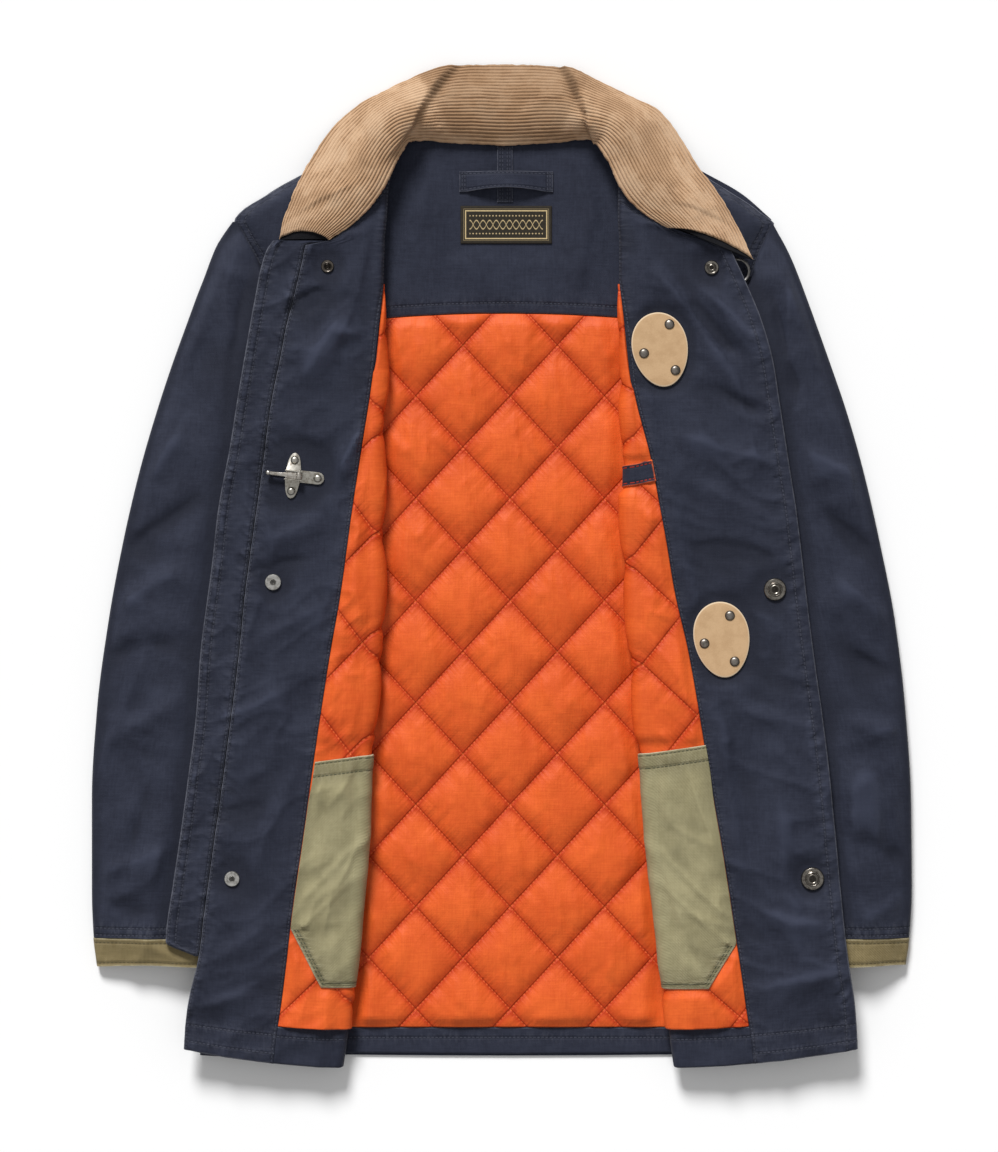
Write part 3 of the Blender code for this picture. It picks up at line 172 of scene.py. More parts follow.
SLEEVES = {
    Side.RIGHT: Table("y outer inner low high outer_high", (
        (-332.5, 339.5, 196, 12.2, 18.6, 8), (-309, 342.5, 192, 12.2, 19.4, 8.8),
        (-270, 344, 185, 12.2, 19.9, 9.6), (-194, 344, 169, 12.2, 19.9, 10),
        (-120, 339.8, 155, 12.2, 19.9, 10), (-45, 330, 138, 12.2, 19.9, 10),
        (20, 318, 128, 12.2, 19.9, 10), (80, 304, 126, 12.2, 19.9, 10),
        (129, 289.8, 134, 12.2, 19.9, 10), (168, 277, 148, 12.2, 19.9, 10),
        (204, 264, 168, 12.2, 18, 10), (226, 256, 188, 12.2, 15.8, 9.6),
        (240, 250.5, 200.5, 9, 14, 9.2), (254, 245.4, 205, 3, 9, 8.4),
        (266, 240.5, 211.5, 0.4, 6.4, 7.4), (279, 232.5, 218.5, 0.3, 5.4, 6.4),
        (286.5, 227, 222.5, 0.3, 5, 5.6),
    )),
    Side.LEFT: Table("y outer inner low high outer_high", (
        (-332.5, 333.5, 196, 12.2, 18.6, 8), (-309, 336.5, 192, 12.2, 19.4, 8.8),
        (-270, 338.7, 185, 12.2, 19.9, 9.6), (-194, 338, 169, 12.2, 19.9, 10),
        (-120, 333.4, 155, 12.2, 19.9, 10), (-45, 324.6, 138, 12.2, 19.9, 10),
        (20, 312, 128, 12.2, 19.9, 10), (80, 298.2, 126, 12.2, 19.9, 10),
        (129, 284.3, 134, 12.2, 19.9, 10), (168, 271, 148, 12.2, 19.9, 10),
        (204, 258.2, 172, 12.2, 18, 10), (226, 250.2, 193, 12.2, 15.8, 9.6),
        (240, 245, 204, 9, 14, 9.2), (254, 239.4, 208.5, 3, 9, 8.4),
        (266, 233.8, 213.5, 0.4, 6.4, 7.4), (279, 226.6, 219, 0.3, 5.4, 6.4),
        (284.5, 223.5, 221.5, 0.3, 5, 5.6),
    )),
}
FLY = Table("y outer", (
    (-326, 257), (-312, 281), (-264, 275), (-218, 268), (-172, 262), (-125, 256), (-70, 252),
    (-1, 243), (50, 237), (97, 228), (129, 223), (177, 215), (217, 208), (247, 202), (262, 197),
    (269, 192),
))
COLLAR = Table("row ax ay az bx by bz arch", (
    (0, -147, 270, 25.3, -187, 271, 16.5, 5), (1, -137, 276, 25.3, -184, 286, 16, 7),
    (2, -122, 287, 25.3, -178, 303, 15.5, 9), (3, -110, 300, 25.3, -170, 322, 13, 11),
    (4, -100, 314, 25, -160, 340, 9, 13), (5, -93, 329, 23, -146, 362, 5, 15),
    (6, -86, 343, 19.5, -124, 382, 3, 18), (7, -79, 353, 11, -98, 395, 2.4, 19),
    (8, -66, 355, 5.4, -70, 407, 2.4, 17), (9, -44, 353, 5, -44, 416, 2.4, 14),
    (10, -22, 352, 5, -22, 417.5, 2.4, 12.5), (11, 0, 351, 5, 0, 417.5, 2.4, 12),
    (12, 22, 352, 5, 22, 417.5, 2.4, 12.5), (13, 44, 353.5, 5, 46, 415.5, 2.4, 14),
    (14, 64, 356, 5.4, 74, 403, 2.4, 17), (15, 77, 353, 11, 102, 391, 2.4, 19),
    (16, 83, 342, 19.5, 128, 379, 3, 18), (17, 89, 328, 23, 145, 358, 5, 15),
    (18, 96, 313, 25, 159, 334, 9, 13), (19, 108, 298, 25.3, 174, 313, 13, 11),
    (20, 120, 289, 25.3, 187, 292, 15.5, 9), (21, 129, 284, 25.3, 197, 273, 19, 9),
    (22, 136, 281, 25.3, 205, 254, 23, 8.5),
))
BACK_SIDE = Table("y half", (
    (-405, 253), (-400, 255), (-300, 256), (-160, 258), (20, 258), (51, 255), (82, 220),
    (140, 197), (180, 191), (205, 192), (240, 199), (264, 210), (289, 222),
))
BACK_TOP = Table("x y", (
    (0, 352.5), (40, 354), (64, 357), (79, 359.5), (137, 343.5), (167, 327.5), (197, 310.5),
    (222, 289),
))
YOKE_TOP = Table("x y", (
    (0, 352), (40, 353.5), (62, 356.5), (76, 357.5), (95, 345), (150, 306), (168, 270),
))
POCKET_LIMITS = {
    Side.RIGHT: ((-349.5, -325.0, -301.0), (152.5, 165.0, 177.0)),
    Side.LEFT: ((-350.5, -332.0, -314.0), (168.5, 180.0, 191.0)),
}


def ease(value: Grid, start: float, stop: float) -> Grid:
    """Go smoothly from 0 at start to 1 at stop."""
    t = np.clip((value - start) / (stop - start), 0.0, 1.0)
    return t * t * (3 - 2 * t)


def lattice_noise(x: Grid, y: Grid, seed: float) -> Grid:
    """Smooth noise from 0 to 1 on a lattice with a step of 1.

    Args:
        x: places in steps.
        y: places in steps.
        seed: chooses the pattern.

    Returns:
        The noise at each place.
    """
    def corner(i: Grid, j: Grid) -> Grid:
        """A repeatable number from 0 to 1 for each lattice point."""
        return np.modf(np.abs(np.sin(i * 127.1 + j * 311.7 + seed * 74.7) * 43758.5453))[0]

    i, j = np.floor(x), np.floor(y)
    u, v = x - i, y - j
    u, v = u * u * (3 - 2 * u), v * v * (3 - 2 * v)
    return ((corner(i, j) * (1 - u) + corner(i + 1, j) * u) * (1 - v)
            + (corner(i, j + 1) * (1 - u) + corner(i + 1, j + 1) * u) * v)


def ruffle(x: Grid, y: Grid, size: float, seed: float, layers: int = 3) -> Grid:
    """Layered noise between -1 and 1.

    Args:
        x: places in millimetres.
        y: places in millimetres.
        size: the largest bumps' size in millimetres.
        seed: chooses the pattern.
        layers: how many layers are summed, each half as large as the last.

    Returns:
        The noise at each place.
    """
    total, weight = 0.0 * (x + y), 0.0
    for k in range(layers):
        scale, share = 2.0**k / size, 0.5**k
        total = total + share * (lattice_noise(x * scale + 17 * k, y * scale - 9 * k, seed + k)
                                 * 2 - 1)
        weight += share
    return total / weight


def folds(x: Grid, y: Grid, size: float, seed: float) -> Grid:
    """Noise with narrow ridges about size millimetres apart, from 0 to 1."""
    return (1 - np.abs(ruffle(x, y, size, seed, 2))) ** 5


def rolled(distance: Grid, radius: float) -> Grid:
    """How far a rounded edge falls at a distance from its end."""
    inside = np.clip(radius - distance, 0.0, radius)
    return radius - np.sqrt(radius * radius - inside * inside)


def spread(start: Grid, stop: Grid, count: int, head: Sequence[float] = (),
           tail: Sequence[float] = ()) -> Grid:
    """Columns between two lines, close together near the ends.

    Args:
        start: the line where the columns begin, one value a row.
        stop: the line where they end.
        count: how many evenly spread columns there are.
        head: growing distances from start; the last one is where the even spread begins.
        tail: the same from stop.

    Returns:
        A grid of lengths, one row for each row of start.
    """
    first, last = (head[-1] if head else 0.0), (tail[-1] if tail else 0.0)
    tight = np.minimum(1.0, (stop - start) / max(1e-6, 3 * (first + last)))
    low, high = start + first * tight, stop - last * tight
    middle = low + (high - low) * np.linspace(0, 1, count)[None, :]
    heads = [start + d * tight for d in head[:-1]]
    tails = [stop - d * tight for d in tail[:-1]][::-1]
    return np.concatenate([*heads, middle, *tails], axis=1)


@dataclass(frozen=True)
class Crease:
    """A soft ridge or trough pressed into cloth between two points."""

    x: float
    y: float
    x2: float
    y2: float
    width: float
    height: float
    lean: float = 0.35

    def reach(self, x: Grid, y: Grid) -> tuple[Grid, Grid]:
        """Measure places from the crease.

        Args:
            x: places in millimetres.
            y: places in millimetres.

        Returns:
            How far each place is off the crease, and how much of the crease is left there.
        """
        dx, dy = self.x2 - self.x, self.y2 - self.y
        length = math.hypot(dx, dy)
        t = ((x - self.x) * dx + (y - self.y) * dy) / length**2
        drift = 0.4 * min(self.width, 8.0) * ruffle(x, y, 30.0, self.x + self.y)
        off = ((x - self.x) * dy - (y - self.y) * dx) / length + drift
        return off, ease(t, -0.12, 0.35) * ease(1 - t, -0.12, 0.35)

    def lift(self, x: Grid, y: Grid) -> Grid:
        """The height that the crease adds at each place, steeper on its leaning side."""
        off, fade = self.reach(x, y)
        width = self.width * np.where(off > 0, 1 + self.lean, 1 - self.lean)
        return self.height * fade * np.exp(-np.abs(off / width) ** 1.5)


def creases(*rows: tuple[float, ...]) -> tuple[Crease, ...]:
    """Creases from rows of their two ends, width, height and lean."""
    return tuple(Crease(*row) for row in rows)


@dataclass(frozen=True)
class Quiet:
    """A fitting's place, round which cloth lies flat."""

    x: float
    y: float
    radius: float
    soft: float = 16.0

    def free(self, x: Grid, y: Grid) -> Grid:
        """0 under the fitting, 1 well away from it."""
        return ease(np.hypot(x - self.x, y - self.y), self.radius, self.radius + self.soft)


@dataclass(frozen=True)
class Relief:
    """The creases of one face of cloth, never lower than the face itself."""

    creases: tuple[Crease, ...]
    quiet: tuple[Quiet, ...]
    base: float = 1.5
    rumple: float = 1.8
    seed: float = 1.0
    scale: float = 3.0

    def lift(self, x: Grid, y: Grid) -> Grid:
        """Add up the noise and the creases.

        Args:
            x: places in millimetres.
            y: places in millimetres.

        Returns:
            The height that the cloth rises above its plain place.
        """
        high = self.base + self.rumple * ruffle(x, y, 52.0, self.seed)
        high = high + 0.22 * self.rumple * ruffle(x, y, 12.0, self.seed + 5)
        high = high + 1.3 * self.rumple * folds(x + 0.3 * y, 0.4 * y, 44.0, self.seed + 7)
        high = high + 0.8 * self.rumple * folds(0.5 * x, y + 0.4 * x, 26.0, self.seed + 9)
        for crease in self.creases:
            high = high + self.scale * crease.lift(x, y)
        high = np.maximum(high, -0.05)
        for quiet in self.quiet:
            high = high * quiet.free(x, y)
        return high


@dataclass(frozen=True)
class Lattice:
    """Quilting lines that cross in diamonds."""

    u: float
    y: float
    lean: float
    half_height: float

    def lines(self, u: Grid, y: Grid) -> tuple[Grid, Grid]:
        """How far a place is along each of the two families of stitched lines, in mm."""
        across = (u - self.u - self.lean * (y - self.y)) / QUILT_HALF_WIDTH
        along = (y - self.y) / self.half_height
        return (across + along) * QUILT_STEP, (across - along) * QUILT_STEP

    def fullness(self, u: Grid, y: Grid) -> Grid:
        """Find how full the diamonds are.

        Args:
            u: places across, in millimetres.
            y: places along, in millimetres.

        Returns:
            0 on the stitching of a diamond, about 1 at its middle.
        """
        total, steep = 1.0, 1.0
        for line, other in (self.lines(u, y), self.lines(u, y)[::-1]):
            turns = line / (2 * QUILT_STEP)
            nearest = np.rint(turns)
            gap = 2 * QUILT_STEP * np.abs(turns - nearest)
            side = nearest * 37.0 + 400.0 * (turns > nearest)
            tug = 1.0 + 0.85 * ruffle(other, side, 9.0, 3.0, 2) ** 2 * 2
            total = total * np.abs(np.sin(math.pi * turns))
            steep = steep * (1 - np.exp(-gap / (4.8 * tug)))
        return 0.45 * total**0.7 + 0.55 * steep


BACK_LATTICE = Lattice(4.3, 140.6, 0.0, QUILT_HALF_HEIGHT)
FRONT_LATTICES = {
    Side.RIGHT: Lattice(117.9, -63.9, -0.115, 45.5),
    Side.LEFT: Lattice(113.9, -81.8, -0.14, 42.0),
}
FRONT_RELIEFS = {
    Side.RIGHT: Relief(creases(
        (113, 122, 150, 62, 5.5, 1.9), (128, 214, 172, 150, 8, 1.8),
        (150, 232, 186, 204, 6, -1.4), (150, 40, 196, 22, 9, 1.1), (142, -30, 206, -62, 10, 1.2),
        (176, -100, 236, -128, 8, 1.0), (168, -150, 214, -262, 10, 1.2),
        (196, -196, 250, -208, 7, -0.8), (190, -290, 246, -330, 9, 1.2),
        (206, -352, 254, -366, 7, 1.0), (118, 190, 150, 196, 6, 0.9), (160, 8, 216, -8, 6, -0.8),
    ), (
        Quiet(147, 248, 6), Quiet(192, -13.5, 8), Quiet(226, -259, 8), Quiet(176, 75, 24),
        Quiet(160, 78, 14),
    ), seed=4.0),
    Side.LEFT: Relief(creases(
        (147, 221, 195, 171, 6, -1.9), (174, 150, 212, 125, 6, -1.5),
        (124, 252, 199, 142, 8, 2.2), (162, 233, 212, 179, 6, 2.0), (136, 110, 226, 84, 9, 1.2),
        (158, 70, 232, 30, 7, 1.0), (150, 20, 236, 4, 8, -0.8), (186, -118, 262, -136, 9, 1.2),
        (176, -100, 196, -250, 10, 1.3), (222, -160, 244, -330, 10, 1.2),
        (204, -286, 270, -300, 7, 1.1), (198, -352, 282, -336, 8, 1.2),
        (226, -90, 256, -104, 6, -0.8),
    ), (
        Quiet(171, 247, 7), Quiet(223.5, -19.5, 10), Quiet(254.5, -259, 10),
        Quiet(128.5, 187, 23, 12), Quiet(128.5, 171, 23, 12), Quiet(179.5, -52, 23, 12),
        Quiet(179.5, -70, 23, 12),
    ), seed=9.0),
}
SLEEVE_CREASES = {
    Side.RIGHT: creases(
        (216, 236, 229, 110, 7, -1.7), (239, 254, 276, 156, 9, 1.6),
        (246, 262, 262, 190, 6, -1.1), (262, 120, 306, 60, 9, 1.5), (250, 60, 322, 10, 8, -1.3),
        (262, 6, 330, -40, 10, 1.6), (266, -60, 340, -74, 9, -1.3),
        (270, -110, 336, -150, 10, 1.5), (292, -170, 318, -262, 9, -1.4),
        (280, -236, 346, -256, 8, 1.4), (284, -290, 344, -276, 7, -1.0),
    ),
    Side.LEFT: creases(
        (222, 232, 244, 120, 8, -1.6), (238, 244, 268, 150, 9, 1.6), (244, 96, 300, 70, 9, 1.4),
        (256, 54, 318, 0, 8, -1.3), (270, -8, 326, -52, 10, 1.6), (282, -70, 334, -96, 8, -1.2),
        (276, -128, 338, -140, 9, 1.4), (300, -160, 314, -258, 10, 1.5),
        (286, -226, 340, -244, 8, -1.3), (292, -296, 336, -272, 8, 1.2),
    ),
}
YOKE_CREASES = creases(
    (-70, 300, -52, 226, 7, 1.9), (72, 306, 58, 222, 7, 2.0), (-30, 258, -18, 218, 6, 1.3),
    (28, 262, 40, 214, 6, 1.5), (-58, 345, -76, 262, 6, 1.7), (64, 346, 82, 258, 6, 1.8),
    (-8, 240, 6, 216, 5, 1.1),
)
LINING_CREASES = creases(
    (42, 207, 42, 170, 4, 1.1), (42, 178, 34, 140, 4, 1.0), (35, 145, 29, 106, 4, 0.9),
    (-60, 120, -20, 60, 8, 0.6), (10, -60, 60, -120, 8, 0.6), (-70, -180, -30, -240, 8, 0.6),
)
COLLAR_LAPS = creases(
    (-38, 424, -98, 340, 16, 5.0, 0.88), (44, 426, 84, 342, 16, 5.0, -0.88),
)
COLLAR_CREASES = creases(
    (-33, 420, -92, 338, 3, -1.3, 0), (40, 422, 79, 342, 3, -1.3, 0),
    (-112, 376, -134, 300, 9, -2.0), (-146, 300, -122, 322, 7, 1.8),
    (-170, 292, -124, 314, 12, 2.0, -0.9), (122, 372, 150, 300, 9, -2.0),
    (186, 284, 140, 302, 12, 2.0, 0.9), (56, 382, 72, 372, 2.0, -1.6),
    (60, 374, 74, 366, 2.0, 1.2), (-62, 379, -54, 366, 3.0, -1.3), (-30, 400, -8, 378, 5, 0.9),
    (12, 372, 40, 392, 5, 0.8), (-128, 352, -110, 330, 6, 1.0), (-160, 318, -130, 300, 6, 0.9),
    (150, 330, 128, 306, 6, 1.0), (176, 300, 150, 286, 5, 0.9),
)


# ---------------------------------------------------------------- shader helpers

def toned(colour: Colour, factor: float) -> Colour:
    """A colour made darker, or lighter where the factor is over 1."""
    return tuple(c * factor for c in colour)


class Wire:
    """A shader socket whose operators add Math nodes."""

    def __init__(self, net: "Net", socket: bpy.types.NodeSocket) -> None:
        """Keep the socket and the net that its nodes go in."""
        self.net, self.socket = net, socket

    def maths(self, operation: str, *others: "Wire | float", first: "Wire | float | None" = None
              ) -> "Wire":
        """Add one Math node.

        Args:
            operation: the node's operation.
            others: the values after the first.
            first: the first value, this socket where it isn't given.

        Returns:
            The node's value.
        """
        values = (self if first is None else first, *others)
        return self.net.node("ShaderNodeMath", {"operation": operation}, dict(enumerate(values)))

    def __add__(self, other: "Wire | float") -> "Wire":
        """Add."""
        return self.maths("ADD", other)

    __radd__ = __add__

    def __sub__(self, other: "Wire | float") -> "Wire":
        """Subtract."""
        return self.maths("SUBTRACT", other)

    def __rsub__(self, other: float) -> "Wire":
        """Subtract this from a number."""
        return self.maths("SUBTRACT", self, first=other)

    def __mul__(self, other: "Wire | float") -> "Wire":
        """Multiply."""
        return self.maths("MULTIPLY", other)

    __rmul__ = __mul__

    def __truediv__(self, other: "Wire | float") -> "Wire":
        """Divide."""
        return self.maths("DIVIDE", other)

    def __pow__(self, other: float) -> "Wire":
        """Raise to a power."""
        return self.maths("POWER", other)

    def __abs__(self) -> "Wire":
        """The size without its sign."""
        return self.maths("ABSOLUTE")

    def sine(self) -> "Wire":
        """The sine."""
        return self.maths("SINE")

    def wave(self, pitch: float) -> "Wire":
        """A sine wave that repeats every pitch millimetres."""
        return (self * (2 * math.pi / (pitch * MM))).sine()

    def decay(self, reach: float) -> "Wire":
        """1 at zero, falling by a factor of e every reach millimetres."""
        return (self * (-1 / (reach * MM))).maths("EXPONENT")

    def nearest(self) -> "Wire":
        """The nearest whole number."""
        return self.maths("ROUND")

    def below(self, limit: float, soft: float) -> "Wire":
        """1 well below a limit and 0 well above it, over a soft edge."""
        return self.net.node("ShaderNodeMapRange", {"interpolation_type": "SMOOTHSTEP"}, {
            "Value": self, "From Min": limit - soft, "From Max": limit + soft,
            "To Min": 1.0, "To Max": 0.0})

    def above(self, limit: float, soft: float) -> "Wire":
        """0 well below a limit and 1 well above it, over a soft edge."""
        return 1.0 - self.below(limit, soft)


class Net:
    """The nodes of one material."""

    def __init__(self, name: str) -> None:
        """Start a material with its one surface shader."""
        self.material = bpy.data.materials.new(name)
        self.material.use_nodes = True
        self.tree = self.material.node_tree
        self.shader = self.tree.nodes["Principled BSDF"]

    def node(self, kind: str, settings: dict[str, Any] | None = None,
             inputs: dict[Any, Any] | None = None, output: Any = 0) -> Wire:
        """Add a node.

        Args:
            kind: the node's type.
            settings: the node's own settings; "stops" are a ramp's places and colours.
            inputs: the value or link of each socket, by name or number.
            output: the name or number of the socket that is returned.

        Returns:
            One output of the node.
        """
        made = self.tree.nodes.new(kind)
        for key, value in (settings or {}).items():
            if key == "stops":
                ramp = made.color_ramp
                while len(ramp.elements) < len(value):
                    ramp.elements.new(0.5)
                for element, (place, colour) in zip(ramp.elements, value):
                    element.position, element.color = place, (*colour, 1.0)
            else:
                setattr(made, key, value)
        for key, value in (inputs or {}).items():
            self.feed(made.inputs[key], value)
        return Wire(self, made.outputs[output])

    def feed(self, socket: bpy.types.NodeSocket, value: Any) -> None:
        """Link a wire to a socket, or set the socket's own value."""
        if isinstance(value, Wire):
            self.tree.links.new(value.socket, socket)
        elif isinstance(value, tuple) and socket.type == "RGBA":
            socket.default_value = (*value[:3], 1.0)
        else:
            socket.default_value = value

    def chart(self, label: str) -> tuple[Wire, Wire]:
        """The two coordinates of one of the piece's UV maps, in metres."""
        place = self.node("ShaderNodeUVMap", {"uv_map": label}, output="UV")
        return tuple(self.node("ShaderNodeSeparateXYZ", {}, {"Vector": place}, axis)
                     for axis in ("X", "Y"))

    def place(self, label: str | None = None, stretch: tuple[float, float, float] = (1, 1, 1)
              ) -> Wire:
        """Object coordinates, or a UV map, stretched along each axis."""
        if label is None:
            source = self.node("ShaderNodeTexCoord", output="Object")
        else:
            source = self.node("ShaderNodeUVMap", {"uv_map": label}, output="UV")
        return self.node("ShaderNodeMapping", {}, {"Vector": source, "Scale": stretch})

    def noise(self, place: Wire, size: float, detail: float = 3.0, rough: float = 0.55) -> Wire:
        """Noise from 0 to 1 whose bumps are about size millimetres wide."""
        return self.node("ShaderNodeTexNoise", {}, {
            "Vector": place, "Scale": 1.0 / (size * MM), "Detail": detail, "Roughness": rough})

    def blend(self, share: "Wire | float", low: "Wire | Colour", high: "Wire | Colour") -> Wire:
        """Mix two colours."""
        return self.node("ShaderNodeMix", {"data_type": "RGBA"}, {0: share, 6: low, 7: high}, 2)

    def relief(self, height: Wire, strength: float, distance: float) -> None:
        """Feed the shader's normal from a height in its own units, distance in millimetres."""
        bump = self.node("ShaderNodeBump", {}, {
            "Height": height, "Strength": strength, "Distance": distance * MM})
        self.feed(self.shader.inputs["Normal"], bump)

    def surface(self, **sockets: Any) -> bpy.types.Material:
        """Set or link the shader's sockets, named with underscores for spaces."""
        for key, value in sockets.items():
            self.feed(self.shader.inputs[key.replace("_", " ")], value)
        return self.material


@dataclass(frozen=True)
class Row:
    """A row of stitches at a distance from an edge."""

    chart: str
    axis: int
    at: float
    along: int = 1
    pitch: float = 3.4


@dataclass(frozen=True)
class Canvas:
    """Plain-woven cotton: slubs, mottling and rows of stitches; rims and pucker ridges paled as
    wear and painted highlight, painted shade in seam grooves, pucker hollows and fold troughs,
    painted highlight on fold crests.
    """

    name: str
    base: Colour
    light: Colour
    # worn: the colour of paled rims and pucker ridges, standing for wear and painted highlight;
    # on the welt it is the orange of its piping.
    worn: Colour
    thread: Colour
    rows: tuple[Row, ...] = ()
    # wear: rims paled in patches, as worn cloth and painted highlight.
    wear: tuple[tuple[str, int, float], ...] = ()
    weave: float = 0.9
    twill: float = 0.0
    rough: float = 0.72
    gather: float = 0.4
    # creased: fold heights in mm; troughs below the first get painted shade, crests above the
    # second get painted highlight.
    creased: tuple[float, float] | None = None

    def material(self) -> bpy.types.Material:
        """Make the material's nodes."""
        net = Net(self.name)
        cloth = net.place("Cloth")
        x, y = net.chart("Cloth")
        blotch = net.noise(cloth, 40, 5, 0.66)
        fleck = net.noise(cloth, 5, 4, 0.7)
        slub_x = net.noise(net.place("Cloth", (1.0, 0.09, 1.0)), 1.6, 2, 0.6)
        slub_y = net.noise(net.place("Cloth", (0.09, 1.0, 1.0)), 1.6, 2, 0.6)
        grain = slub_x * 0.5 + slub_y * 0.5
        weave = x.wave(self.weave) * y.wave(self.weave)
        height = weave * 0.35 + grain * 1.2 + net.noise(cloth, 7, 4, 0.6) * 1.5
        shade = blotch * 0.8 + grain * 0.7 + fleck * 0.25 - 0.46
        if self.twill:
            diagonal = (x + y).wave(self.twill)
            height = height + diagonal * 0.25
            shade = shade + diagonal * 0.03
        colour = net.blend(shade.above(0.42, 0.4), self.base, self.light)
        # Painted highlight, with some wear, on fold crests and painted shade in fold troughs,
        # read from the Fold map's height.
        if self.creased:
            fold, (low, high) = net.chart("Fold")[0], self.creased
            crest_wear_and_highlight, trough_shade = fold.above(high * MM, 1.5 * MM), fold.below(low * MM, 1.2 * MM)
            colour = net.blend(crest_wear_and_highlight * 0.55, colour, toned(self.light, 1.35))
            colour = net.blend(trough_shade * 0.5, colour, toned(self.base, 0.6))
        # Rims paled in patches: worn cloth, and painted highlight on the rolled edges.
        for label, axis, reach in self.wear:
            near = net.chart(label)[axis]
            patchy = net.noise(cloth, 7, 3)
            colour = net.blend(near.below(reach * MM, 0.6 * MM) * patchy.above(0.4, 0.2) * 0.8,
                               colour, self.worn)
        pulls = tuple(net.noise(net.place("Cloth", stretch), 3.2, 3, 0.6)
                      for stretch in ((1.0, 0.3, 1.0), (0.3, 1.0, 1.0)))
        for row in self.rows:
            across, along = net.chart(row.chart)[row.axis], (x, y)[row.along]
            gap = abs(across - row.at * MM)
            dash = along.wave(row.pitch).above(-0.35, 0.3)
            mask = gap.below(0.42 * MM, 0.2 * MM) * dash
            pressed = gap.below(1.1 * MM, 1.0 * MM)
            pull, near = pulls[row.along], gap.decay(3.6)
            # Pucker ridges beside each row are paled, as wear and painted highlight; pucker
            # hollows are darkened as painted shade.
            ridge = pull.above(0.54, 0.1) * near
            height = height + ridge * (3.4 * self.gather)
            colour = net.blend(ridge * (0.5 * self.gather), colour, self.worn)
            colour = net.blend(pull.below(0.46, 0.08) * near * (0.5 * self.gather), colour,
                               toned(self.base, 0.5))
            # The pressed groove along each row is darkened as painted shade.
            colour = net.blend(pressed * 0.45, colour, toned(self.base, 0.45))
            colour = net.blend(mask * 0.75, colour, self.thread)
            height = height - pressed * 2.2 + mask * 1.6
        net.relief(height, 0.55, 0.4)
        return net.surface(Base_Color=colour, Roughness=self.rough, Sheen_Weight=0.04,
                           Sheen_Roughness=0.5, Specular_IOR_Level=0.2)


@dataclass(frozen=True)
class Satin:
    """Quilted lining: smooth woven cloth with stitched lines that pull fine wrinkles, and painted
    shade along the stitched valleys.
    """

    name: str
    base: Colour
    deep: Colour
    thread: Colour
    pitch: float = 3.3

    def material(self) -> bpy.types.Material:
        """Make the material's nodes."""
        net = Net(self.name)
        cloth = net.place("Cloth")
        lines = net.chart("Quilt")
        slub = net.noise(net.place("Cloth", (1.0, 0.08, 1.0)), 1.4, 2, 0.6)
        slub = slub + net.noise(net.place("Cloth", (0.08, 1.0, 1.0)), 1.4, 2, 0.6)
        rumple = net.noise(net.place("Cloth", (1.0, 0.45, 1.0)), 9, 4, 0.62)
        height = rumple * 1.9 + slub * 0.35
        threads: Wire | float = 0.0
        valley_shade: Wire | float = 0.0
        for line, other, stretch in ((*lines, (0.12, 1.0, 1.0)),
                                     (*lines[::-1], (1.0, 0.12, 1.0))):
            turns = line * (1 / (2 * QUILT_STEP * MM))
            gap = abs(turns - turns.nearest()) * (2 * QUILT_STEP * MM)
            dash = other.wave(self.pitch).above(0.0, 0.4)
            threads = gap.below(0.5 * MM, 0.25 * MM) * dash + threads
            reach = gap.decay(7.0)
            valley_shade = gap.decay(1.9) + reach * 0.3 + valley_shade
            pull = net.noise(net.place("Quilt", stretch), 3.4, 2, 0.5)
            height = height + pull * reach * 3.2 - gap.below(0.9 * MM, 0.7 * MM) * 1.6
        tone = net.noise(cloth, 38, 4, 0.6) * 0.7 + slub * 0.3
        colour = net.blend(tone.above(0.62, 0.2) * 0.4, self.base, self.deep)
        # Painted shade darkens the cloth along the stitched valleys.
        colour = net.blend(valley_shade.maths("MINIMUM", 1.0) * 0.8, colour, self.deep)
        colour = net.blend(threads.maths("MINIMUM", 1.0) * 0.75, colour, self.thread)
        net.relief(height, 0.6, 0.6)
        return net.surface(Base_Color=colour, Roughness=0.56, Specular_IOR_Level=0.22)


@dataclass(frozen=True)
class Corduroy:
    """Ribbed pile with rubbed patches; painted shade in the grooves, on the stand and beside the
    laps, and painted highlight on the ridges.
    """

    name: str
    ridge: Colour
    groove: Colour
    rubbed: Colour
    ribs: int

    def material(self) -> bpy.types.Material:
        """Make the material's nodes."""
        net = Net(self.name)
        across, along = net.chart("Rib")
        cloth = net.place("Cloth")
        wave = abs((across * (math.pi * self.ribs / MM)).sine())
        pile = net.noise(cloth, 1.3, 3, 0.7)
        tuft = net.noise(net.place("Cloth", (1.0, 0.4, 1.0)), 3.0, 3, 0.7)
        mottle = net.noise(net.place("Cloth", (1.0, 0.5, 1.0)), 24, 5, 0.66)
        rubbed = mottle.above(0.53, 0.1)
        height = wave + pile * 0.7 + tuft * 0.5 - 0.6
        # Grooves darker and ridges lighter: painted shade and highlight across each rib; the
        # rubbed patches are paler wear.
        colour = net.blend((height + rubbed * 0.35).above(0.4, 0.42), self.groove, self.ridge)
        colour = net.blend(rubbed * 0.55, colour, self.rubbed)
        colour = net.blend(mottle.below(0.42, 0.1) * 0.3, colour, self.groove)
        # Painted shade on the collar stand and painted shadow beside the laps, read from the Rib
        # map's second coordinate.
        colour = net.blend(along.above(0.5 * MM, 0.4 * MM) * 0.48, colour, self.groove)
        colour = net.blend(along.above(1.4 * MM, 0.6 * MM) * 0.7, colour,
                           toned(self.groove, 0.4))
        net.relief(wave * (1.0 - rubbed * 0.5) * 0.9 + pile * 1.5, 0.6, 0.5)
        return net.surface(Base_Color=colour, Roughness=0.92, Sheen_Weight=0.12,
                           Sheen_Roughness=0.45, Specular_IOR_Level=0.1)


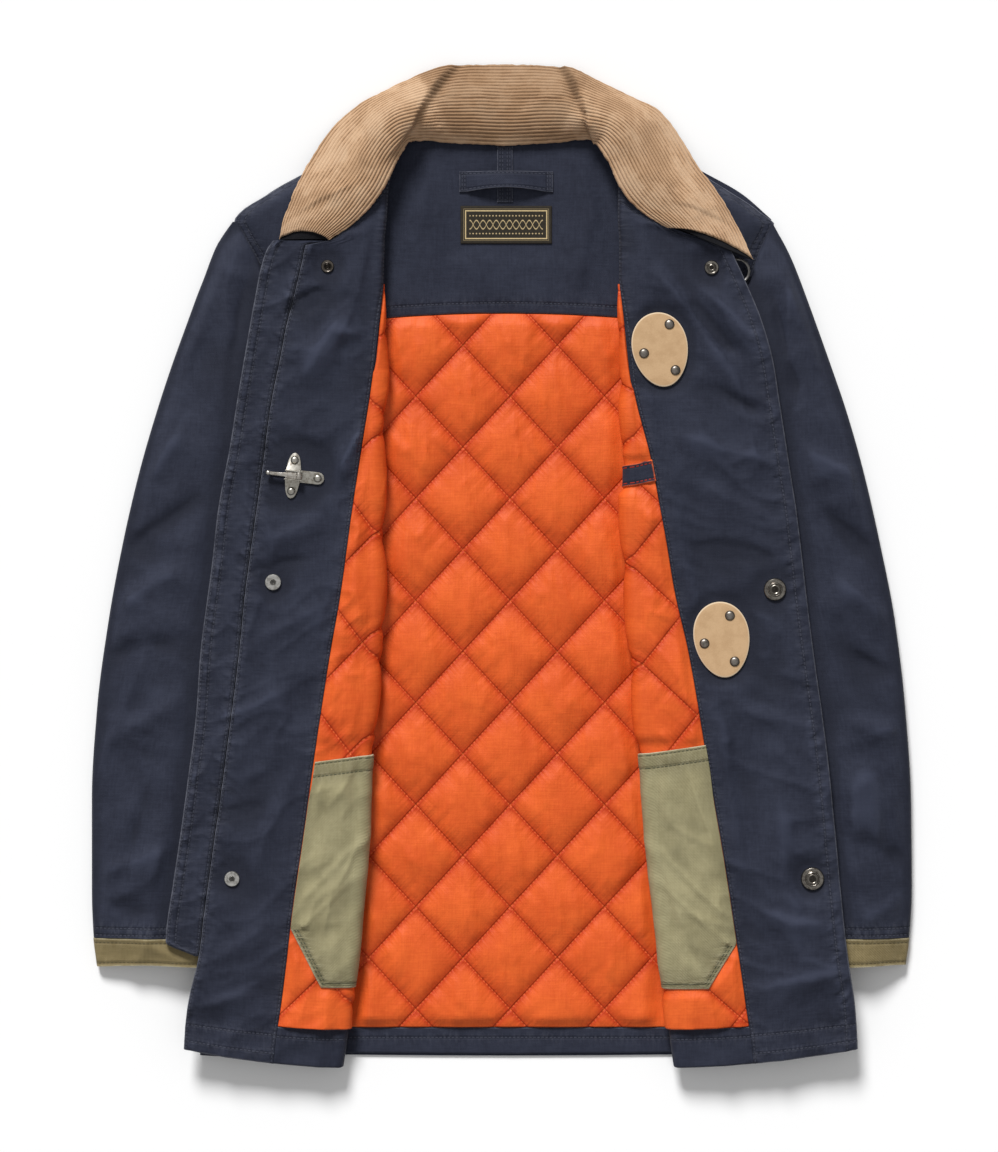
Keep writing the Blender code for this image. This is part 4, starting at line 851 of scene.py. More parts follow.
@dataclass(frozen=True)
class Suede:
    """Split leather with soft mottling and a pale cut edge."""

    name: str
    base: Colour
    warm: Colour
    cut: Colour

    def material(self) -> bpy.types.Material:
        """Make the material's nodes."""
        net = Net(self.name)
        place = net.place()
        reach = net.chart("Disc")[0]
        mottle = net.noise(place, 12, 5, 0.65)
        nap = net.noise(place, 1.2, 3, 0.7)
        colour = net.blend((mottle + nap * 0.25).above(0.66, 0.16), self.base, self.warm)
        colour = net.blend(reach.above(0.965 * MM, 0.012 * MM), colour, self.cut)
        net.relief(mottle * 0.8 + nap * 0.9, 0.35, 0.4)
        return net.surface(Base_Color=colour, Roughness=0.9, Sheen_Weight=0.3,
                           Sheen_Roughness=0.5, Specular_IOR_Level=0.2)


@dataclass(frozen=True)
class WovenLabel:
    """Damask ribbon with a double gold frame round a plain lozenge border."""

    name: str
    ground: Colour
    gold: Colour
    width: float
    height: float

    def material(self) -> bpy.types.Material:
        """Make the material's nodes."""
        net = Net(self.name)
        x, y = net.chart("Cloth")
        half_w, half_h = self.width / 2 * MM, self.height / 2 * MM
        from_side = half_w - abs(x)
        from_top = half_h - abs(y)
        rim = from_side.maths("MINIMUM", from_top)
        frame_line = abs(rim - 4.2 * MM).below(0.45 * MM, 0.2 * MM)
        thin_line = abs(rim - 2.6 * MM).below(0.16 * MM, 0.1 * MM) * 0.5
        inside = rim.above(5.6 * MM, 0.3 * MM)
        swing = x.wave(11.0) * 3.6 * MM
        scroll = abs(y - swing).below(0.5 * MM, 0.3 * MM)
        scroll = scroll.maths("MAXIMUM", abs(y + swing).below(0.5 * MM, 0.3 * MM))
        cell = 2.75 * MM
        fine_x = (x * (1 / cell) - (x * (1 / cell)).nearest()) * cell
        dots = (abs(fine_x) + abs(abs(y) - 7.4 * MM)).below(0.75 * MM, 0.25 * MM)
        motif = scroll.maths("MAXIMUM", dots) * inside * abs(x).below(30.5 * MM, 0.3 * MM)
        weft = y.wave(0.55)
        gold = net.blend(net.noise(net.place("Cloth"), 1.5, 3), self.gold,
                         toned(self.gold, 0.62))
        ink = (frame_line + thin_line + motif * 0.85).maths("MINIMUM", 1.0)
        colour = net.blend(ink, net.blend(net.noise(net.place("Cloth"), 3, 3), self.ground,
                                          toned(self.ground, 2.1)), gold)
        net.relief(weft * 0.35 + ink * 1.2, 0.5, 0.3)
        return net.surface(Base_Color=colour, Roughness=0.7, Specular_IOR_Level=0.12)


@dataclass(frozen=True)
class Metal:
    """Pressed metal with fine scratches, patches of tarnish and painted shade in its recesses."""

    name: str
    base: Colour
    tarnish: Colour
    rough: float
    shaded_recess: tuple[float, float] | None = None
    rust: Colour | None = None

    def material(self) -> bpy.types.Material:
        """Make the material's nodes."""
        net = Net(self.name)
        place = net.place()
        wear = net.noise(place, 3.2, 5, 0.7)
        scratch = net.noise(net.place(None, (0.25, 2.2, 1.0)), 0.8, 3, 0.6)
        colour = net.blend(wear.above(0.54, 0.12) * 0.75, self.base, self.tarnish)
        # The recess is darkened as painted shade.
        if self.shaded_recess:
            reach = net.chart("Disc")[0]
            low, high = self.shaded_recess
            hollow_shade = reach.above(low * MM, 0.03 * MM) * reach.below(high * MM, 0.03 * MM)
            colour = net.blend(hollow_shade * 0.85, colour, toned(self.tarnish, 0.25))
        if self.rust:
            colour = net.blend(net.noise(place, 6, 4, 0.7).above(0.62, 0.08) * 0.6, colour,
                               self.rust)
        net.relief(wear * 0.8 + scratch * 0.6, 0.25, 0.2)
        return net.surface(Base_Color=colour, Metallic=1.0,
                           Roughness=scratch * 0.25 + (self.rough - 0.12))


NAVY: Colour = (0.0116, 0.0138, 0.027)
NAVY_LIGHT: Colour = (0.0295, 0.0345, 0.0575)
# Pale rim colour: worn cloth and painted highlight on edges and pucker ridges.
NAVY_WEAR_AND_HIGHLIGHT: Colour = (0.115, 0.12, 0.15)
NAVY_THREAD: Colour = (0.055, 0.06, 0.085)
NAVY_CLOTH = (NAVY, NAVY_LIGHT, NAVY_WEAR_AND_HIGHLIGHT, NAVY_THREAD)
OLIVE: Colour = (0.255, 0.226, 0.12)
OLIVE_LIGHT: Colour = (0.362, 0.325, 0.188)
# Pale rim colour: worn cloth and painted highlight on edges and pucker ridges.
OLIVE_WEAR_AND_HIGHLIGHT: Colour = (0.52, 0.48, 0.34)
OLIVE_THREAD: Colour = (0.05, 0.06, 0.035)
ORANGE: Colour = (0.8, 0.135, 0.022)
ORANGE_DEEP: Colour = (0.42, 0.024, 0.002)
ORANGE_THREAD: Colour = (0.74, 0.13, 0.03)


def make_finishes() -> Finishes:
    """Make every finish of the jacket, by name."""
    # Fold heights in mm: below the first, painted shade; above the second, painted highlight.
    fold_shade_and_highlight_limits = (1.7, 6.0)
    recipes = (
        Canvas("navy canvas", *NAVY_CLOTH, rows=(Row("Edge", 0, 3.2), Row("Edge", 0, 9.0)),
               wear=(("Edge", 0, 1.1),)),
        Canvas("navy facing", *NAVY_CLOTH,
               rows=(Row("Edge", 0, 9.0), Row("Edge", 1, 1.6), Row("Hem", 0, 9.0, along=0),
                     Row("Hem", 0, 24.5, along=0)), wear=(("Edge", 0, 1.0), ("Hem", 0, 1.0)),
               creased=fold_shade_and_highlight_limits),
        Canvas("navy facing beside the fly", *NAVY_CLOTH,
               rows=(Row("Edge", 0, 1.8), Row("Edge", 1, 1.6), Row("Hem", 0, 9.0, along=0),
                     Row("Hem", 0, 24.5, along=0)), wear=(("Edge", 0, 0.8), ("Hem", 0, 1.0)),
               creased=fold_shade_and_highlight_limits),
        Canvas("navy fly strip", *NAVY_CLOTH,
               rows=(Row("Edge", 0, 2.2), Row("Edge", 0, 8.4), Row("Edge", 1, 2.0)),
               wear=(("Edge", 0, 1.2), ("Edge", 1, 0.7)), creased=fold_shade_and_highlight_limits),
        Canvas("navy sleeve canvas", *NAVY_CLOTH,
               rows=(Row("Hem", 0, 2.2, along=0), Row("Hem", 0, 8.0, along=0)),
               creased=(1.0, 7.0)),
        Canvas("navy lining canvas", *NAVY_CLOTH, rows=(Row("Edge", 0, 8.5, along=0),),
               wear=(("Edge", 0, 0.7),)),
        Canvas("navy ribbed tape", *NAVY_CLOTH,
               rows=(Row("Edge", 0, 2.0, along=0), Row("Hem", 0, 2.4), Row("Hem", 0, 4.6)),
               wear=(("Edge", 0, 0.5), ("Hem", 0, 0.5)), weave=1.7, gather=0.1),
        Canvas("olive canvas", OLIVE, OLIVE_LIGHT, OLIVE_WEAR_AND_HIGHLIGHT, OLIVE_THREAD,
               rows=(Row("Edge", 0, 4.2), Row("Edge", 0, 2.4), Row("Hem", 0, 12.5, along=0),
                     Row("Hem", 0, 2.0, along=0)), wear=(("Edge", 0, 0.9), ("Hem", 0, 0.7)),
               twill=2.4, creased=(0.35, 4.2)),
        Canvas("olive brown canvas", (0.162, 0.124, 0.054), (0.28, 0.22, 0.108),
               (0.42, 0.37, 0.24), (0.06, 0.05, 0.025),
               rows=(Row("Hem", 0, 3.0, along=0), Row("Hem", 1, 3.4, along=0)),
               wear=(("Hem", 0, 1.0), ("Hem", 1, 0.9)), twill=2.2, gather=0.25),
        # The under collar is near black: painted shade of the hollow beneath the collar's ends.
        Canvas("under collar", (0.003, 0.003, 0.004), (0.009, 0.009, 0.012), (0.04, 0.045, 0.06),
               (0.05, 0.055, 0.07), rough=0.95),
        Canvas("breast welt canvas", NAVY, NAVY_LIGHT, ORANGE, ORANGE_DEEP,
               rows=(Row("Hem", 0, 2.6, along=0), Row("Hem", 1, 2.6, along=0)),
               wear=(("Hem", 0, 0.9), ("Hem", 1, 0.9), ("Edge", 0, 0.9)), gather=0.0),
        Satin("orange quilting", ORANGE, ORANGE_DEEP, ORANGE_THREAD),
        Corduroy("tan corduroy", (0.5, 0.315, 0.185), (0.235, 0.132, 0.068), (0.58, 0.41, 0.27),
                 24),
        Suede("tan suede", (0.56, 0.37, 0.205), (0.485, 0.31, 0.165), (0.68, 0.52, 0.35)),
        WovenLabel("woven label", (0.02, 0.0165, 0.012), (0.78, 0.6, 0.32), 76.0, 31.5),
        Metal("bright nickel", (0.6, 0.57, 0.52), (0.26, 0.22, 0.17), 0.36),
        Metal("worn nickel", (0.5, 0.48, 0.43), (0.2, 0.17, 0.13), 0.42, rust=(0.09, 0.05, 0.03)),
        Metal("nickel ring", (0.6, 0.59, 0.56), (0.2, 0.19, 0.17), 0.34, shaded_recess=(-1.0, 0.3)),
        Metal("gunmetal", (0.24, 0.23, 0.22), (0.08, 0.07, 0.06), 0.32),
        Metal("dark ring", (0.16, 0.14, 0.12), (0.04, 0.034, 0.028), 0.3, shaded_recess=(-1.0, 0.5)),
        Metal("gunmetal ring", (0.27, 0.25, 0.22), (0.07, 0.055, 0.045), 0.26,
              shaded_recess=(-1.0, 0.27)),
        Metal("gunmetal rivet", (0.3, 0.27, 0.24), (0.13, 0.11, 0.09), 0.36, shaded_recess=(0.84, 1.2)),
        Metal("nickel rivet", (0.56, 0.54, 0.49), (0.3, 0.27, 0.22), 0.34, shaded_recess=(0.84, 1.2)),
    )
    return {recipe.name: recipe.material() for recipe in recipes}


# ---------------------------------------------------------------- building cloth

def link(name: str, mesh: bpy.types.Mesh, finish: bpy.types.Material) -> bpy.types.Object:
    """Put a mesh in the scene with one material, and report it.

    Args:
        name: the object's name.
        mesh: its mesh.
        finish: its material.

    Returns:
        The object.
    """
    made = bpy.data.objects.new(name, mesh)
    made.data.materials.append(finish)
    bpy.context.scene.collection.objects.link(made)
    LOG.info("%s: %d faces in %s", name, len(mesh.polygons), finish.name)
    return made


def settle(made: bpy.types.Object) -> None:
    """Make an object's modifiers part of its mesh."""
    bpy.context.view_layer.update()
    seen = made.evaluated_get(bpy.context.evaluated_depsgraph_get())
    mesh = bpy.data.meshes.new_from_object(seen, preserve_all_data_layers=True,
                                           depsgraph=bpy.context.evaluated_depsgraph_get())
    made.modifiers.clear()
    made.data = mesh


@dataclass
class Piece:
    """A piece of cloth given by the grid of points of its face and of its underside."""

    name: str
    node: str
    slot: str
    face: Grid
    under: Grid
    charts: Charts
    flip: bool = False
    tube: bool = False

    def build(self, finish: bpy.types.Material) -> bpy.types.Object:
        """Make the closed mesh, ride it on the jacket and stand it for its node.

        Args:
            finish: the piece's material.

        Returns:
            The finished object.
        """
        rows, columns = self.face.shape[:2]
        bm = bmesh.new()
        bmesh.ops.create_grid(bm, x_segments=columns - 1, y_segments=rows - 1, size=1.0)
        mesh = bpy.data.meshes.new(self.name)
        bm.to_mesh(mesh)
        places = np.empty(len(mesh.vertices) * 3)
        mesh.vertices.foreach_get("co", places)
        places = places.reshape(-1, 3)
        i = np.rint((places[:, 1] + 1) / 2 * (rows - 1)).astype(int)
        j = np.rint((places[:, 0] + 1) / 2 * (columns - 1)).astype(int)
        mesh.vertices.foreach_set("co", (self.face[i, j] * MM).ravel())
        corners = np.empty(len(mesh.loops), np.int32)
        mesh.loops.foreach_get("vertex_index", corners)
        for label, (u, v) in self.charts.items():
            pair = np.stack(np.broadcast_arrays(u, v, 0.0 * self.face[:, :, 0])[:2], axis=-1)
            layer = mesh.uv_layers.new(name=label)
            layer.data.foreach_set("uv", (pair[i, j][corners] * MM).ravel())
        if self.flip:
            mesh.flip_normals()
        made = link(self.name, mesh, finish)
        wall = made.modifiers.new("Wall", "SOLIDIFY")
        wall.thickness, wall.offset = CLOTH * MM, -1.0
        settle(made)
        mesh, count = made.data, rows * columns
        both = np.empty(len(mesh.vertices) * 3)
        mesh.vertices.foreach_get("co", both)
        both = both.reshape(-1, 3)
        both[:count] = self.face[i, j] * MM
        both[count:] = self.under[i, j] * MM
        mesh.vertices.foreach_set("co", both.ravel())
        bm.clear()
        bm.from_mesh(mesh)
        if self.tube:
            bmesh.ops.remove_doubles(bm, verts=bm.verts, dist=1e-6)
            inner = [f for f in bm.faces if sum(len(e.link_faces) > 2 for e in f.edges) > 1]
            bmesh.ops.delete(bm, geom=inner, context="FACES_ONLY")
            bare = [e for e in bm.edges if not e.link_faces]
            bmesh.ops.delete(bm, geom=bare, context="EDGES")
        bm.to_mesh(mesh)
        bm.free()
        mesh.shade_smooth()
        mesh.set_sharp_from_angle(angle=CLOTH_SHARP)
        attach(made, JACKET)
        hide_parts(self.node)
        return made

    def lay(self, finish: bpy.types.Material, hold: Hold) -> None:
        """Args:
            finish: the piece's material.
            hold: how the cloth is held; not used.
        """
        made = self.build(finish)
        across = np.linalg.norm(np.diff(self.face, axis=1), axis=2).sum(axis=1).max()
        along = np.linalg.norm(np.diff(self.face, axis=0), axis=2).sum(axis=0).max()
        edge_a = self.face[1:, 1:] - self.face[:-1, :-1]
        edge_b = self.face[1:, :-1] - self.face[:-1, 1:]
        area = np.linalg.norm(np.cross(edge_a, edge_b), axis=2).sum() / 2
        area = min(max(area, 0.31 * across * along), across * along)
        LOG.info("%s: cut %.0f x %.0f mm, %.4f m2", self.name, across, along, area * MM * MM)


def points(x: Grid | float, y: Grid | float, z: Grid | float) -> Grid:
    """A grid of points from their coordinates, each spread over the whole grid."""
    return np.stack(np.broadcast_arrays(x, y, z), axis=-1)


def column(values: Sequence[float] | Grid) -> Grid:
    """A row of numbers as one column."""
    return np.array(values, float)[:, None]


def levels(low: float, high: float, step: float, near: Sequence[float] = (0.0, 0.5, 1.2, 2.2)
           ) -> Grid:
    """Heights from low to high, close together at both ends.

    Args:
        low: the first height.
        high: the last height.
        step: how far apart they are in between.
        near: how far in from each end the close ones are.

    Returns:
        The heights as a column.
    """
    inner = np.arange(low + near[-1] + step, high - near[-1] - step / 2, step)
    ends = [low + d for d in near] + list(inner) + [high - d for d in near[::-1]]
    return column(sorted(set(ends)))


# ---------------------------------------------------------------- the fronts

class Rail:
    """The line that one front's cloth follows at each height, from side seam to front edge.

    Length is counted from where the fold begins: less than 0 on the lower run, then round the
    fold and out along the folded-back run.
    """

    def __init__(self, side: Side, y: Grid) -> None:
        """Read the front's lines at a column of heights."""
        table = FRONTS[side]
        self.side, self.y = side, y
        self.radius = LIFTS.read("lift", y) / 2
        self.outer = self.radius + CLOTH + SEAM + FRONT_LINING_FLAT + FOLD_COVER
        self.centre = table.read("fold", y) + self.outer
        self.lower = table.read("side", y) - self.centre
        self.bend = math.pi * self.radius
        self.end = self.length_at(table.read("edge", y))
        self.facing = np.minimum(self.length_at(table.read("facing", y)),
                                 self.end - FACING_LEAST)
        self.lining_end = self.facing - SEAM - np.where(self.facing < self.bend + 1,
                                                        FOLD_SEAM, 0.0)

    def length_at(self, x: Grid) -> Grid:
        """The length along the cloth at a distance from the centre line."""
        reach = np.clip((self.centre - x) / self.outer, 0.0, 1.0)
        return np.where(x >= self.centre, self.bend + x - self.centre,
                        self.radius * (math.pi - np.arcsin(reach)))

    def unrolled(self, length: Grid) -> Grid:
        """The distance from the centre line if the cloth lay flat."""
        return self.centre + length - self.bend

    def place(self, length: Grid, offset: Grid | float) -> Grid:
        """Find points of the cloth.

        Args:
            length: how far along the cloth, one row for each height.
            offset: how far out of the fold.

        Returns:
            The points in millimetres.
        """
        offset = offset + 0.0 * length
        ramp = np.clip((self.lower + length) / EDGE_RAMP, 0.0, 1.0)
        level = EDGE_LEVEL + (FRONT_LEVEL - EDGE_LEVEL) * np.sin(ramp * math.pi / 2)
        angle = np.clip(length / self.radius, 0.0, math.pi)
        reach = self.radius + offset
        under, beyond = length < 0, length > self.bend
        x = np.where(under, self.centre - length, np.where(
            beyond, self.centre + length - self.bend, self.centre - reach * np.sin(angle)))
        z = np.where(under, level - offset, np.where(
            beyond, FRONT_LEVEL + 2 * self.radius + offset,
            FRONT_LEVEL + self.radius - reach * np.cos(angle)))
        along = np.clip(length / np.maximum(1.0, self.end), 0.0, 1.0)
        hem = np.array(FRONTS[self.side].rows)[0, 0]
        near = np.clip(1.0 - (self.y - hem) / HEM_REACH, 0.0, None)
        rise = HEM_RISE * along**2 + HEM_BULGE * along * (1 - along)
        low = np.clip(-length / np.maximum(1.0, self.lower), 0.0, None)
        y = self.y + near * (rise + HEM_DROP * np.minimum(1.0, low * 1.5)) + 0.0 * length
        z = z + FRONT_RELIEFS[self.side].lift(x, y) * ease(length - self.bend, 0.0, 14.0)
        return points(self.side.value * x, y, z)


@dataclass
class Front:
    """One front of the jacket, folded back: canvas, quilting, facing, hem and pocket."""

    side: Side
    finishes: Finishes
    edge_roll: float = 2.0
    armhole_lap: float = 4.5
    puff: float = 4.3
    hem_band: float = 25.0
    pocket_top: float = -156.0
    pocket_start: float = 0.35
    lining_reach: float = 46.0
    lining_margin: float = 26.0

    @property
    def flip(self) -> bool:
        """Whether grids run clockwise seen from above on this side."""
        return self.side is Side.RIGHT

    @property
    def pocket_bottom(self) -> float:
        """The height of the pocket's lower edge."""
        return POCKET_LIMITS[self.side][0][0]

    def build(self) -> None:
        """Build every piece of the front."""
        self.canvas()
        self.lining()
        self.facing()
        self.hem()
        self.pocket()

    def charts(self, rail: Rail, length: Grid, start: Grid, stop: Grid
               ) -> Charts:
        """The cloth's flat places, its distances from its edges and hem, and its fold height,
        from which the material paints highlight and shade.
        """
        flat = rail.unrolled(length)
        y = rail.y + 0.0 * length
        return {"Cloth": (flat, y), "Edge": (stop - length, length - start),
                "Hem": (y - y.min(), y.max() - y),
                "Fold": (FRONT_RELIEFS[self.side].lift(flat, y), 0.0 * y)}

    def canvas(self) -> None:
        """The outer canvas from the side seam round the fold to the front edge."""
        label = self.side.label
        rail = Rail(self.side, levels(-416.5, 343.0, 4.0))
        lap = self.armhole_lap * ease(rail.y, 222, 240) * ease(-rail.y, -294, -284)
        start, stop = -rail.lower - lap, rail.end - 0.7
        length = np.concatenate([
            spread(start, -2.0 + 0 * start, 22, head=(0, 0.6, 1.6, 3)),
            spread(0 * start, rail.bend, 12), spread(rail.bend + 1.5, stop, 22)], axis=1)
        charts = self.charts(rail, length, start, stop)
        charts["Edge"] = (length - start, stop - length)
        piece = Piece(f"front_outer_{label}_canvas", f"front_outer_{label}", "navy",
                      rail.place(length, CLOTH), rail.place(length, 0.0), charts, self.flip)
        piece.lay(self.finishes["navy canvas"], Hold.FOLDED)

    def puffed(self, rail: Rail, length: Grid) -> Grid:
        """How far the quilting stands up, less where a pocket or a welt presses on it."""
        flat, y = rail.unrolled(length), rail.y + 0.0 * length
        full = FRONT_LATTICES[self.side].fullness(flat, y) * ease(length, -4.0, 7.0)
        full = full * (0.25 + 0.75 * ease(rail.lining_end - length, 0.0, 9.0))
        bottom, top = self.pocket_bottom, self.pocket_top
        inside = ease(y, bottom - 9, bottom + 1) * ease(-y, -top - 16, -top - 6)
        inside = inside * ease(self.pocket_end(rail) - length, -9.0, 1.0) * ease(length, 0, 3)
        if self.side is Side.LEFT:
            inside = np.maximum(inside, ease(y, 58, 66) * ease(-y, -94, -86))
        wrinkle = 0.9 * folds(flat * 1.5 + 0.2 * y, y * 0.3, 21, 35.0) * full
        return (self.puff * full + wrinkle) * (1 - inside)

    def lining(self) -> None:
        """The quilted lining from inside the fold to the facing."""
        label = self.side.label
        rail = Rail(self.side, levels(HEM_TOP, LINING_TOP, 2.0))
        start = -np.minimum(self.lining_reach, rail.lower - self.lining_margin)
        stop = rail.lining_end
        length = np.concatenate([spread(start, -6.0 + 0 * start, 5),
                                 spread(-3.0 + 0 * start, stop, 50, tail=(0, 0.4, 1.0))], axis=1)
        base = CLOTH + LINING_GAP
        ends = rolled(np.minimum(rail.y - HEM_TOP, stop - length), 0.9)
        top = base + FRONT_LINING_FLAT + self.puffed(rail, length) - ends
        charts = self.charts(rail, length, start, stop)
        charts["Quilt"] = FRONT_LATTICES[self.side].lines(rail.unrolled(length), rail.y)
        piece = Piece(f"front_lining_{label}_quilting", f"front_lining_{label}", "orange",
                      rail.place(length, top), rail.place(length, base), charts, self.flip)
        made = piece.build(self.finishes["orange quilting"])

    def facing(self) -> None:
        """The canvas facing along the front edge, turned down over it."""
        label = self.side.label
        rail = Rail(self.side, levels(-416.5, 327.0, 2.2))
        start, stop = rail.facing, rail.end + (0.5 if self.side is Side.LEFT else 0.0)
        length = spread(start, stop, 36, head=(0, 0.5, 1.2), tail=(0, 0.35, 0.9, 1.7, 3.0))
        base = CLOTH + SEAM
        charts = self.charts(rail, length, start, stop)
        from_edge, from_seam = charts["Edge"]
        from_hem = charts["Hem"][0]
        fall = 1.25 if self.side is Side.LEFT else 0.5
        top = base + FACING - fall * rolled(from_edge, self.edge_roll)
        top = top - 0.4 * rolled(from_seam, 1.2) - 0.8 * rolled(from_hem, 1.6)
        top = top + 0.45 * (1 - ease(from_hem, self.hem_band - 1.2, self.hem_band))
        y = rail.y + 0 * length
        pucker = folds(y + from_edge * 0.7, from_edge * 0.5, 7.5, 2.0)
        reach = np.exp(-((from_edge - 9) / 7) ** 2) if self.side is Side.LEFT else np.exp(
            -from_edge / 11)
        pucker = 2.2 * pucker * reach + 1.2 * folds(
            y * 0.5, from_hem, 8.0, 6.0) * np.exp(-((from_hem - 9) / 6) ** 2)
        top = top + pucker * ease(length - rail.bend, 8, 24)
        # Puckers raise the fold height too, so they get painted highlight and shade.
        charts["Fold"] = (charts["Fold"][0] + 1.6 * pucker, 0.0 * y)
        under = np.minimum(base + pucker, top - 0.35)
        under = np.where(from_edge < 1.0, np.minimum(under, top - 0.3), under)
        piece = Piece(f"front_facing_{label}_canvas", f"front_facing_{label}", "navy_inside",
                      rail.place(length, top), rail.place(length, under), charts, self.flip)
        finish = "navy facing" if self.side is Side.LEFT else "navy facing beside the fly"
        piece.lay(self.finishes[finish], Hold.FOLDED)

    def hem(self) -> None:
        """The turned-up hem below the lining."""
        label = self.side.label
        rail = Rail(self.side, levels(-416.2, HEM_TOP - SEAM, 3.0))
        start, stop = -HEM_TURNED + 0 * rail.y, rail.lining_end
        length = np.concatenate([spread(start, -2.0 + 0 * start, 8), spread(
            0 * start, stop, 34, tail=(0, 0.4, 1.0))], axis=1)
        base = CLOTH + SEAM
        charts = self.charts(rail, length, start, stop)
        charts["Edge"] = (charts["Hem"][1], charts["Hem"][0])
        top = base + FACING + 0.45 - 0.8 * rolled(charts["Hem"][0], 1.6)
        top = top - 0.5 * rolled(charts["Hem"][1], 1.2)
        piece = Piece(f"front_hem_{label}_canvas", f"front_hem_{label}", "navy_inside",
                      rail.place(length, top), rail.place(length, base), charts, self.flip)
        piece.lay(self.finishes["navy lining canvas"], Hold.FOLDED)

    def pocket_end(self, rail: Rail) -> Grid:
        """Where the pocket ends along the cloth, at its cut-off corner or the facing."""
        heights, limits = POCKET_LIMITS[self.side]
        limit = rail.length_at(np.interp(rail.y, heights, limits))
        return np.where(rail.y > heights[-1], rail.lining_end - SEAM,
                        np.minimum(limit, rail.lining_end - SEAM))

    def pocket(self) -> None:
        """The olive pocket with its turned top and cut-off corner."""
        label = self.side.label
        bottom, top_y = self.pocket_bottom, self.pocket_top
        rail = Rail(self.side, levels(bottom, top_y, 2.6))
        start, stop = rail.bend * self.pocket_start, self.pocket_end(rail)
        length = spread(start, stop, 44, head=(0, 0.5, 1.2), tail=(0, 0.35, 0.9, 1.8))
        base = CLOTH + LINING_GAP + FRONT_LINING_FLAT + SEAM
        slope = -6.0 if self.side is Side.RIGHT else 8.0
        share = (length - start) / (stop - start)
        y = rail.y + 0.0 * length
        tilt = slope * share * ease(y, -197, -172)
        corner = np.where(rail.y < POCKET_LIMITS[self.side][0][-1] + 2, stop - length, 1e3)
        from_edge = np.minimum(y - bottom, corner * 0.72)
        from_top = top_y - y
        top = base + CLOTH - 0.9 * rolled(from_edge, 1.3) - 0.7 * rolled(from_top, 1.4)
        top = top - 0.4 * rolled(stop - length, 1.0)
        top = top + 0.5 * (1 - ease(from_top, 10.6, 12.2))
        flat = rail.unrolled(length)
        soft = 1.6 * ruffle(flat * 1.6, y, 40, 6.0 + self.side.value) + 1.9 * folds(
            flat + 0.35 * y, 0.35 * y, 34, 8.0) + 1.4 * folds(0.4 * flat, y + flat, 40, 9.5)
        soft = np.maximum(0, soft + 0.35) * ease(from_edge, 4, 22) * ease(from_top, 10, 30)
        soft = 1.25 * soft * ease(length, 4, 14) * ease(stop - length, 1, 10)
        face = rail.place(length, top + soft)
        under = rail.place(length, np.minimum(base + soft, top + soft - 0.4))
        face[:, :, 1] += tilt
        under[:, :, 1] += tilt
        charts = {"Cloth": (flat, y), "Edge": (from_edge, length - start),
                  "Hem": (from_top, y - bottom), "Fold": (soft, 0.0 * y)}
        piece = Piece(f"pocket_{label}_canvas", f"pocket_{label}", "olive", face, under,
                      charts, self.flip)
        piece.lay(self.finishes["olive canvas"], Hold.FOLDED)


@dataclass
class FlyStrip:
    """The strip sewn along the wearer's right front edge."""

    finishes: Finishes
    low: float = -326.0
    high: float = 269.0
    thick: float = 3.1

    def build(self) -> None:
        """Build the strip with rounded edges and slanting puckers between its stitch rows."""
        rail = Rail(Side.RIGHT, levels(self.low, self.high, 1.5))
        start = rail.end + SEAM
        stop = rail.length_at(FLY.read("outer", rail.y))
        length = spread(start, stop, 18, head=(0, 0.4, 1.0, 2.0), tail=(0, 0.4, 1.0, 2.0))
        y = rail.y + 0.0 * length
        from_seam, from_edge = length - start, stop - length
        top = self.thick - 1.5 * rolled(from_seam, 1.7) - 0.95 * rolled(from_edge, 2.2)
        wide = from_seam + from_edge
        between = np.exp(-((from_edge - 5.3) / 4.0) ** 2)
        beside = np.exp(-((from_seam - 4.0) / 5.5) ** 2)
        pucker = 2.4 * folds(y + from_edge * 0.8, from_edge * 0.4, 9.0, 5.0) * between * ease(
            wide, 8, 16) + 2.0 * folds(y - from_seam * 0.7, from_seam * 0.4, 10.0, 7.0) * beside
        top = top + pucker
        for at in (2.2, 8.4):
            top = top - 0.3 * np.exp(-((from_edge - at) / 0.9) ** 2)
        top = top - 0.3 * rolled(y - self.low, 1.5)
        piece = Piece("placket_strip_canvas", "placket_strip", "navy", rail.place(length, top),
                      rail.place(length, 0.0), {
                          "Cloth": (rail.unrolled(length), y), "Edge": (from_edge, from_seam),
                          "Hem": (y - self.low, self.high - y), "Fold": (
                              FRONT_RELIEFS[Side.RIGHT].lift(rail.unrolled(length), y)
                              + 1.5 * pucker, 0.0 * y)}, True)
        piece.lay(self.finishes["navy fly strip"], Hold.FOLDED)


